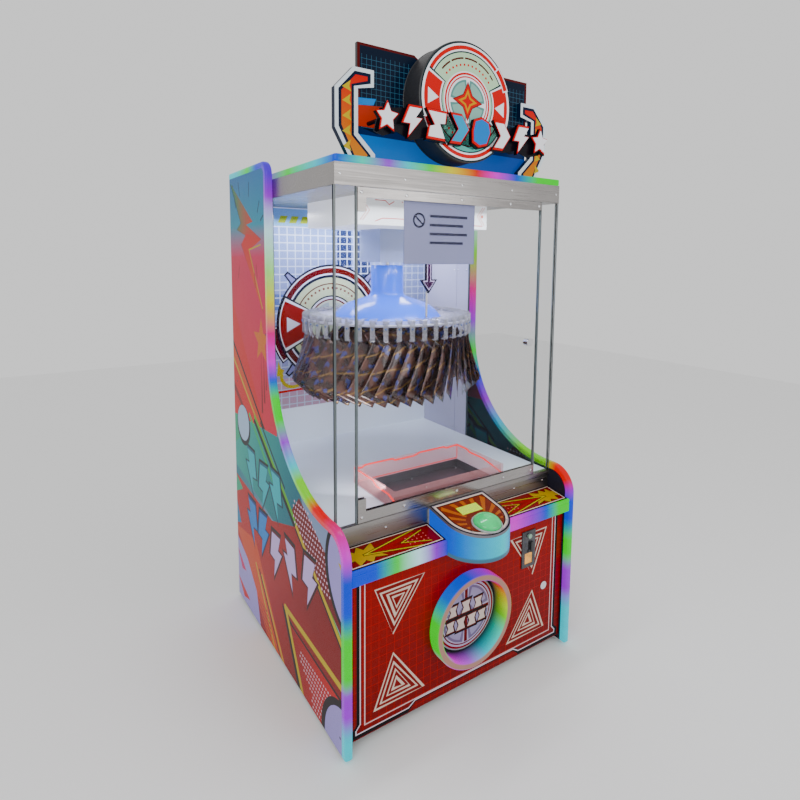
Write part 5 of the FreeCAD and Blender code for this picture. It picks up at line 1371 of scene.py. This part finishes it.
# %% Dome and ring
axis_y = float((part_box("carousel_shaft")[0][1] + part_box("carousel_shaft")[1][1]) / 2 / MM)
dome_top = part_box("carousel_cover")[1][2] / MM
knee = np.array([[60, 1262], [61, 1252], [66, 1243], [76, 1237.5]])
outer = np.vstack([[(8.2, dome_top), (58, dome_top), (60, dome_top - 2)], knee,
                   [(110, 1227), (140, 1217), (158, 1208), (178, 1192), (192, 1177), (199, 1169),
                    (200, 1167.2)]])
inner = np.vstack([[(195, 1167.2), (188, 1174), (174, 1188), (154, 1203.5), (136, 1212.5), (106, 1222.5),
                    (72, 1232), (57, 1238), (55.5, 1250), (55.5, dome_top - 5), (8.2, dome_top - 5)]])
shell = turned_shape(np.vstack([outer, inner]), (0, axis_y, 0), 96)
make_piece("carousel_dome", shell[0], [face[::-1] for face in shell[1]], FINISHES["dome_blue"], "carousel",
           None, True, "dome_blue", ("carousel_cover",))
rim = turned_shape([(8.3, 1159), (304, 1159), (306, 1161), (306, 1165), (304, 1167), (8.3, 1167)],
                   (0, axis_y, 0), 120)
make_piece("carousel_ring", rim[0], rim[1], FINISHES["ring_white"], "carousel", None, False, "ring_white",
           ("clip_ring",))

CLIPS, RING_RADIUS, RING_TOP = 45, 306.0, 1167.0
pivot_y, pivot_z = axis_y - RING_RADIUS + 9, RING_TOP + 13


def around(points, first, last):
    """Copies of a front shape's points turned about the carousel's axis."""
    angles = np.radians(np.arange(first, last) * 360.0 / CLIPS)
    x, y, z = points[:, 0], points[:, 1] - axis_y, points[:, 2]
    cosine, sine = np.cos(angles)[:, None], np.sin(angles)[:, None]
    return np.stack([x * cosine - y * sine, x * sine + y * cosine + axis_y,
                     np.broadcast_to(z, (len(angles), len(z)))], -1)


def clip_seat_parts():
    """A low seat with two rounded ears."""
    parts = [slab_box((-11, pivot_y - 6, RING_TOP + 0.1), (11, pivot_y + 6, pivot_z - 5))]
    ear = np.vstack([[(-6, RING_TOP + 0.1)], [(6, RING_TOP + 0.1)], arc((0, pivot_z - 2), 6, 0, 180, 7)])
    for side in (-1, 1):
        count = len(ear)
        near, far = sorted((side * 8.3, side * 11.0))
        points = np.vstack([np.column_stack([np.full(count, x), ear[:, 0] + pivot_y, ear[:, 1]])
                            for x in (near, far)])
        wall = [[k, (k + 1) % count, (k + 1) % count + count, k + count] for k in range(count)]
        parts.append((points, wall + [list(range(count))[::-1], list(range(count, 2 * count))],
                      (0.5, 0.5, 0.5)))
    return parts


def clip_jaw_parts():
    """A lever whose side view is a bent strip: flat, down over the edge, and in at the toe."""
    out = axis_y - RING_RADIUS - 0.6
    side_view = np.array([(pivot_y + 48, pivot_z - 1.6), (pivot_y + 48, pivot_z + 2),
                          (pivot_y + 8, pivot_z + 2.6), (out - 1, pivot_z + 2), (out - 3.4, pivot_z),
                          (out - 4, pivot_z - 4), (out - 4, pivot_z - 66), (out - 2.8, pivot_z - 68),
                          (out + 11, pivot_z - 68), (out + 11, pivot_z - 64.6), (out + 1, pivot_z - 64),
                          (out, pivot_z - 62), (out, pivot_z - 2), (pivot_y - 5, pivot_z - 2),
                          (pivot_y - 3, pivot_z - 4), (pivot_y + 3, pivot_z - 4), (pivot_y + 5, pivot_z - 2)])
    count = len(side_view)
    rows = []
    for x in (-8.0, -7.4, 7.4, 8.0):
        rows.append(np.column_stack([np.full(count, x), side_view]))
    points = np.vstack(rows)
    faces = lattice(4, count, False, True)
    return [(points, faces + [list(range(count)), list(range(3 * count, 4 * count))[::-1]], (0.5, 0.5, 0.5))]


def ring_of(name, parts, first, last, material, slot, body, stands_for=(), smooth=False):
    """One piece from all turned copies of a front shape."""
    points, faces, _ = gathered(parts)
    turned = around(points, first, last)
    step = len(points)
    whole = [[index + k * step for index in face] for k in range(last - first) for face in faces]
    return make_piece(name, turned.reshape(-1, 3), whole, material, body, None, smooth, slot, stands_for)


ring_of("clip_mouldings", clip_seat_parts() + [(p, [f[::-1] for f in q], c) for p, q, c in clip_jaw_parts()],
        1, CLIPS, FINISHES["clip_clear"], "clip_clear", "carousel", ("prize_clips",))
ring_of("front_clip_seat", clip_seat_parts(), 0, 1, FINISHES["clip_clear"], "clip_clear", "carousel")
ring_of("front_clip_jaw", [(p, [f[::-1] for f in q], c) for p, q, c in clip_jaw_parts()], 0, 1,
        FINISHES["clip_clear"], "clip_clear", "front_jaw", ("front_jaw",))
screw_head = turned_shape([(0, 3.2), (2.2, 2.6), (3.4, 0), (3.4, -1.5), (0, -1.5)],
                          (0, pivot_y - 1, RING_TOP - 14), 8, axis=(0, -1, 0), start=(1, 0, 0))
screw_head[0][:, 1] += axis_y - RING_RADIUS - 4.6 - (pivot_y - 1)
ring_of("clip_screws", [screw_head], 1, CLIPS, finish("screw_blue", (0.04, 0.10, 0.32), (0.2, 0.4), 0.4,
    grain=900),
        "clip_clear", "carousel")
print("carousel made")

# %% [markdown]
# Each packet is a foil pouch hung by one top corner. Two crumpled faces meet in crimped ends, and
# nine different pouches repeat round the ring. The print follows the pouch through its own map.

# %% Packets
def packet_grid(seed):
    """A pouch in its own plane: two crumpled faces that meet in flat crimped seams at the ends.

    The swell is a squared cosine across and along the pouch; creases are sums of slanted sines.
    """
    rng = np.random.default_rng(seed)
    u = np.linspace(0, 1, 13)[:, None]
    v = np.linspace(0, 1, 21)[None, :]
    swell = 5.5 * np.sin(np.pi * u) ** 0.6 * np.clip(np.sin(np.pi * np.clip((v - 0.07) / 0.86, 0, 1)), 0,
        1) ** 0.5
    phase = rng.uniform(0, 2 * np.pi, 6)
    crease = sum(np.sin((3 + 2 * k) * (u * (1 if k % 2 else -1) + 1.3 * v) + phase[k]) / (k + 1.5)
                 for k in range(6))
    crimp = 0.5 * np.sin(v * 150) * (np.abs(v - 0.5) > 0.44)
    waist = 1 - 0.05 * np.sin(np.pi * v)
    x = 52 + (u - 0.5) * 104 * waist
    z = -190 * v + 0 * u
    rim = np.minimum(np.minimum(u, 1 - u) * 8, 1)
    face = [swell * side + (1.6 * crease * np.clip(swell / 3, 0, 1) + crimp) * rim for side in (0.9, -0.9)]
    return x, z, face


def packet_shape(index):
    """One pouch hung by a corner: swung in its plane, then turned like a louvre, then set on the ring."""
    x, z, face = packet_grid(index)
    rows, columns = x.shape[0], z.shape[1]
    x, z = np.broadcast_to(x, (rows, columns)), np.broadcast_to(z, (rows, columns))
    layers = np.stack([np.stack([x, face[0] + 0.4, z], -1), np.stack([x, face[1] - 0.4, z], -1)])
    points = layers.reshape(-1, 3)
    swing, louvre = math.radians(29), math.radians(26)
    px = points[:, 0] * math.cos(swing) + points[:, 2] * math.sin(swing)
    pz = -points[:, 0] * math.sin(swing) + points[:, 2] * math.cos(swing)
    points = np.stack([px * math.cos(louvre) - points[:, 1] * math.sin(louvre),
                       px * math.sin(louvre) + points[:, 1] * math.cos(louvre), pz], 1)
    points += np.array([0, axis_y - RING_RADIUS + 6, pivot_z - 68.3])
    size = rows * columns
    front = lattice(rows, columns)
    back = [[index + size for index in face[::-1]] for face in front]
    ring = ([k * columns for k in range(rows)] + [(rows - 1) * columns + k for k in range(1, columns)]
            + [k * columns + columns - 1 for k in range(rows - 2, -1, -1)] + list(range(columns - 2, 0, -1)))
    walls = [[a, b, b + size, a + size] for a, b in zip(ring, ring[1:] + ring[:1])]
    maps = np.stack([np.broadcast_to(np.linspace(0, 1, rows)[:, None], (rows, columns)),
                     np.broadcast_to(np.linspace(0, 1, columns)[None, :], (rows, columns))], -1)
    pouch_faces = [face[::-1] for face in front + back] + walls
    return points, pouch_faces, np.vstack([maps.reshape(-1, 2)] * 2)


def foil_finish():
    """Printed foil: gold lines, blue patches and dots on dark brown, laid out over each pouch."""
    material, tree, shader, _ = shader_start("packet_foil")
    laid = tree.nodes.new("ShaderNodeUVMap")
    laid.uv_map = "pouch"
    mapping = tree.nodes.new("ShaderNodeMapping")
    mapping.inputs["Scale"].default_value = (1.0, 1.8, 1.0)
    tree.links.new(laid.outputs["UV"], mapping.inputs["Vector"])
    place = mapping.outputs["Vector"]
    patches = noise_of(tree, place, 2.6, (1, 1, 1), 2.0)
    ground = blended(tree, spread(tree, patches, 0, 1, 0.42, 0.6), (0.022, 0.009, 0.010, 1),
                     (0.110, 0.040, 0.026, 1))
    bands = tree.nodes.new("ShaderNodeTexWave")
    bands.wave_type, bands.bands_direction = "BANDS", "DIAGONAL"
    bands.inputs["Scale"].default_value = 0.9
    bands.inputs["Distortion"].default_value = 3.0
    tree.links.new(place, bands.inputs["Vector"])
    golden = blended(tree, spread(tree, bands.outputs["Fac"], 0, 0.5, 0.95, 0.99), ground,
                     (0.42, 0.24, 0.05, 1))
    cool = blended(tree, spread(tree, noise_of(tree, place, 3.4, (1.3, 1, 1), 1.0), 0, 0.8, 0.60, 0.66),
                   golden, (0.03, 0.05, 0.26, 1))
    dots = tree.nodes.new("ShaderNodeTexVoronoi")
    dots.inputs["Scale"].default_value = 16.0
    dots.inputs["Randomness"].default_value = 0.1
    tree.links.new(place, dots.inputs["Vector"])
    spotted = blended(tree, spread(tree, dots.outputs["Distance"], 0.6, 0.0, 0.16, 0.24), cool,
                      (0.20, 0.10, 0.11, 1))
    tree.links.new(spotted, shader.inputs["Base Color"])
    tree.links.new(spread(tree, patches, 0.18, 0.38), shader.inputs["Roughness"])
    shader.inputs["Metallic"].default_value = 0.45
    shader.inputs["Coat Weight"].default_value = 0.7
    creases = noise_of(tree, place, 9.0, (1, 1, 1), 6.0)
    bumper = tree.nodes.new("ShaderNodeBump")
    bumper.inputs["Strength"].default_value = 0.6
    bumper.inputs["Distance"].default_value = 2.0 * MM
    tree.links.new(creases, bumper.inputs["Height"])
    tree.links.new(bumper.outputs["Normal"], shader.inputs["Normal"])
    return material


FINISHES["packet_foil"] = foil_finish()
packet_points, packet_faces, packet_maps, step = [], [], [], 0
for index in range(CLIPS):
    points, faces, maps = packet_shape(index % 9)
    packet_points.append(around(points, index, index + 1)[0])
    packet_faces += [[corner + step for corner in face] for face in faces]
    packet_maps.append(maps + np.array([0.37, 0.21]) * index)
    step += len(points)
packets = make_piece("prize_pouches", np.vstack(packet_points), packet_faces, FINISHES["packet_foil"],
                     "carousel", None, True, "packet_foil", ("prize_packets",))
uv_layer = packets.data.uv_layers.new(name="pouch")
corner = np.zeros(len(packets.data.loops), int)
packets.data.loops.foreach_get("vertex_index", corner)
uv_layer.data.foreach_set("uv", np.vstack(packet_maps)[corner].ravel())
print("packets:", len(packets.data.polygons), "faces")

# %% [markdown]
# ## Pointer, card and coin lever
#
# The pointer is a dark arrow plate with a white inner line that hangs over the front clip. A small
# black lever stands on the coin plate, and a pale card is fixed inside the glass door.

# %% Pointer, card and coin lever
(low_x, point_front, low_z), (high_x, point_back, high_z) = [np.array(p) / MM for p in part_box("pointer")]


def pointer_art():
    """A wide arrow with a dark border, a white line and a purple middle."""
    head = low_z + 66 * 0.7
    outline = [(0, low_z), (high_x, head), (12, head), (12, high_z), (-12, high_z), (-12, head),
               (low_x, head)]
    shapes = poly(ink(14, 8, 20), *outline)
    shapes += poly(ink(206, 196, 226), (0, low_z + 9), (25, head - 4), (8, head - 4), (8, head + 70),
                   (-8, head + 70), (-8, head - 4), (-25, head - 4))
    shapes += poly(ink(56, 14, 60), (0, low_z + 14), (20, head - 8), (5, head - 8), (5, head + 66),
                   (-5, head + 66), (-5, head - 8), (-20, head - 8))
    return shapes


points, faces, colours = printed_slab(*print_cut(pointer_art()), (0, point_front, 0), (1, 0, 0), (0, 0, 1),
                                      point_back - point_front, ink(20, 8, 26))
make_piece("pointer_plate", points, faces, FINISHES["print_film"], "cabinet", colours, False, "pointer_print",
           ("pointer",))


def card_art():
    """A pale notice card: a frame, a bar and plain blocks where a notice would be."""
    shapes = bordered([(-203, 1363), (59, 1363), (59, 1544), (-203, 1544)], ink(176, 178, 206),
                      ink(150, 152, 186), 3)
    shapes += disc(-150, 1490, 22, ink(52, 52, 70), 30) + disc(-150, 1490, 16, ink(176, 178, 206), 30)
    shapes += poly(ink(52, 52, 70), (-166, 1500), (-162, 1504), (-134, 1480), (-138, 1476))
    for row in range(4):
        shapes += poly(ink(64, 64, 84), (-112, 1500 - 26 * row), (30 - 16 * (row % 2), 1500 - 26 * row),
                       (30 - 16 * (row % 2), 1508 - 26 * row), (-112, 1508 - 26 * row))
    return shapes


glass_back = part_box("glass_door")[1][1] / MM
film("door_card", card_art(), (0, glass_back + 0.6, 0), (1, 0, 0), (0, 0, 1), "glass_door", 0.5,
     slot="white_board")

(low_x, plate_front, low_z), (high_x, _, high_z) = [np.array(p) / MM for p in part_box("coin_plate")]
lever_x, lever_z = (low_x + high_x) / 2 + 14, low_z + 72
points, faces, _ = gathered([slab_box((lever_x - 7, plate_front - 5, lever_z - 20),
                                      (lever_x + 3, plate_front + 0.2, lever_z + 16)),
                             slab_box((lever_x - 18, plate_front - 3, lever_z - 19),
                                      (lever_x + 6, plate_front + 0.2, lever_z - 11))])
make_piece("coin_lever", points, faces, FINISHES["black_plastic"], "front_door", slot="black_plastic")

# %% [markdown]
# Small domed screws hold the liners, the tray, the door rails, the header, the rear panel and the
# apron. They are one turned profile set at a list of places.

# %% Screws
def screw_heads(name, spots, facing, radius, body, slot, material):
    """Low domed heads with a small round recess, each at a place and facing one way."""
    facing = np.array(facing, float)
    start = np.array([0, 0, 1.0]) if abs(facing[2]) < 0.5 else np.array([1.0, 0, 0])
    head = [(0, radius * 0.28), (radius * 0.28, radius * 0.30), (radius * 0.34, radius * 0.52),
            (radius * 0.62, radius * 0.48), (radius * 0.95, radius * 0.22), (radius, 0), (0, 0)]
    points, faces, _ = gathered([turned_shape(head, spot, 12, axis=facing, start=start) for spot in spots])
    return make_piece(name, points, faces, FINISHES[material], body, None, False, slot)


liner_spots = [(422.6, y, z) for y in (160, 216, 240, 448) for z in (640, 860, 1080, 1110, 1330, 1550)]
screw_heads("liner_screws_right", liner_spots, (-1, 0, 0), 4.0, "cabinet", "lock_metal", "lock_metal")
screw_heads("liner_screws_left", [(-x, y, z) for x, y, z in liner_spots], (1, 0, 0), 4.0, "cabinet",
            "lock_metal", "lock_metal")
screw_heads("tray_screws", [(x, y, 594.2) for x in (-200, 0, 200) for y in (-156, -68)], (0, 0, 1), 4.5,
            "cabinet", "tray_steel", "lock_metal")
rail_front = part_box("door_rails")[0][1] / MM
screw_heads("rail_screws", [(x, rail_front, z) for x in (-345, -200, 0, 200, 330) for z in (1556, 643)],
            (0, -1, 0), 5.0, "glass_door", "polished_rail", "lock_metal")
screw_heads("header_screws", [(x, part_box("header_shell")[0][1] / MM, 1600)
                              for x in (-410, -205, 0, 205, 410)], (0, -1, 0), 4.0,
            "cabinet", "brushed_header", "lock_metal")
screw_heads("rear_screws", [(x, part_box("rear_panel")[1][1] / MM, z) for x in (-412, 412)
                            for z in (60, 400, 800, 1200, 1600)],
            (0, 1, 0), 5.0, "cabinet", "lock_metal", "lock_metal")
screw_heads("apron_screws", [(x, -316.6, 588) for x in (-400, -260, 260, 400)], (0, -1, 0), 4.0, "cabinet",
            "lock_metal", "lock_metal")
print("screws made")

# %% [markdown]
# ## Finishes for the pieces kept from the mechanical model
#
# Everything else keeps its shape and gets its finish here, one entry for each finish.

# %% Give each kept piece its finish
KEPT = {
    "base_wood": ("base_board",),
    "steel_feet": ("levelling_feet",),
    "black_board": ("rear_panel", "rear_door", "marquee_plate", "front_door"),
    "lock_metal": ("rear_lock", "glass_lock", "front_lock", "door_hinges", "cash_box"),
    "black_plastic": ("power_inlet", "power_rocker", "plunger_coil", "speaker", "button_switch"),
    "brushed_header": ("header_shell", "apron"),
    "light_panel": ("light_box",),
    "clear_glass": ("side_glass", "corner_glass", "glass_door"),
    "polished_rail": ("door_rails",),
    "white_board": ("play_floor", "back_wall"),
    "tray_steel": ("hopper_tray", "prize_chute", "deck_panels", "console_top"),
    "frosted_acrylic": ("hopper_fence",),
    "display": ("console_window",),
    "coin_metal": ("coin_plate", "coin_mech"),
    "coin_button": ("reject_button",),
    "coin_amber": ("return_flap",),
    "housing_acrylic": ("spindle_housing",),
    "motor_grey": ("gear_motor",),
    "shaft_steel": ("carousel_shaft", "plunger"),
    "supply_metal": ("power_supply",),
    "board_green": ("main_board",),
    "bezel_plastic": ("outlet_flap",),
}
for title, names in KEPT.items():
    for node_name in names:
        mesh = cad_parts[node_name].data
        mesh.materials.clear()
        mesh.materials.append(FINISHES[title])
print("kept pieces:", sum(len(names) for names in KEPT.values()))
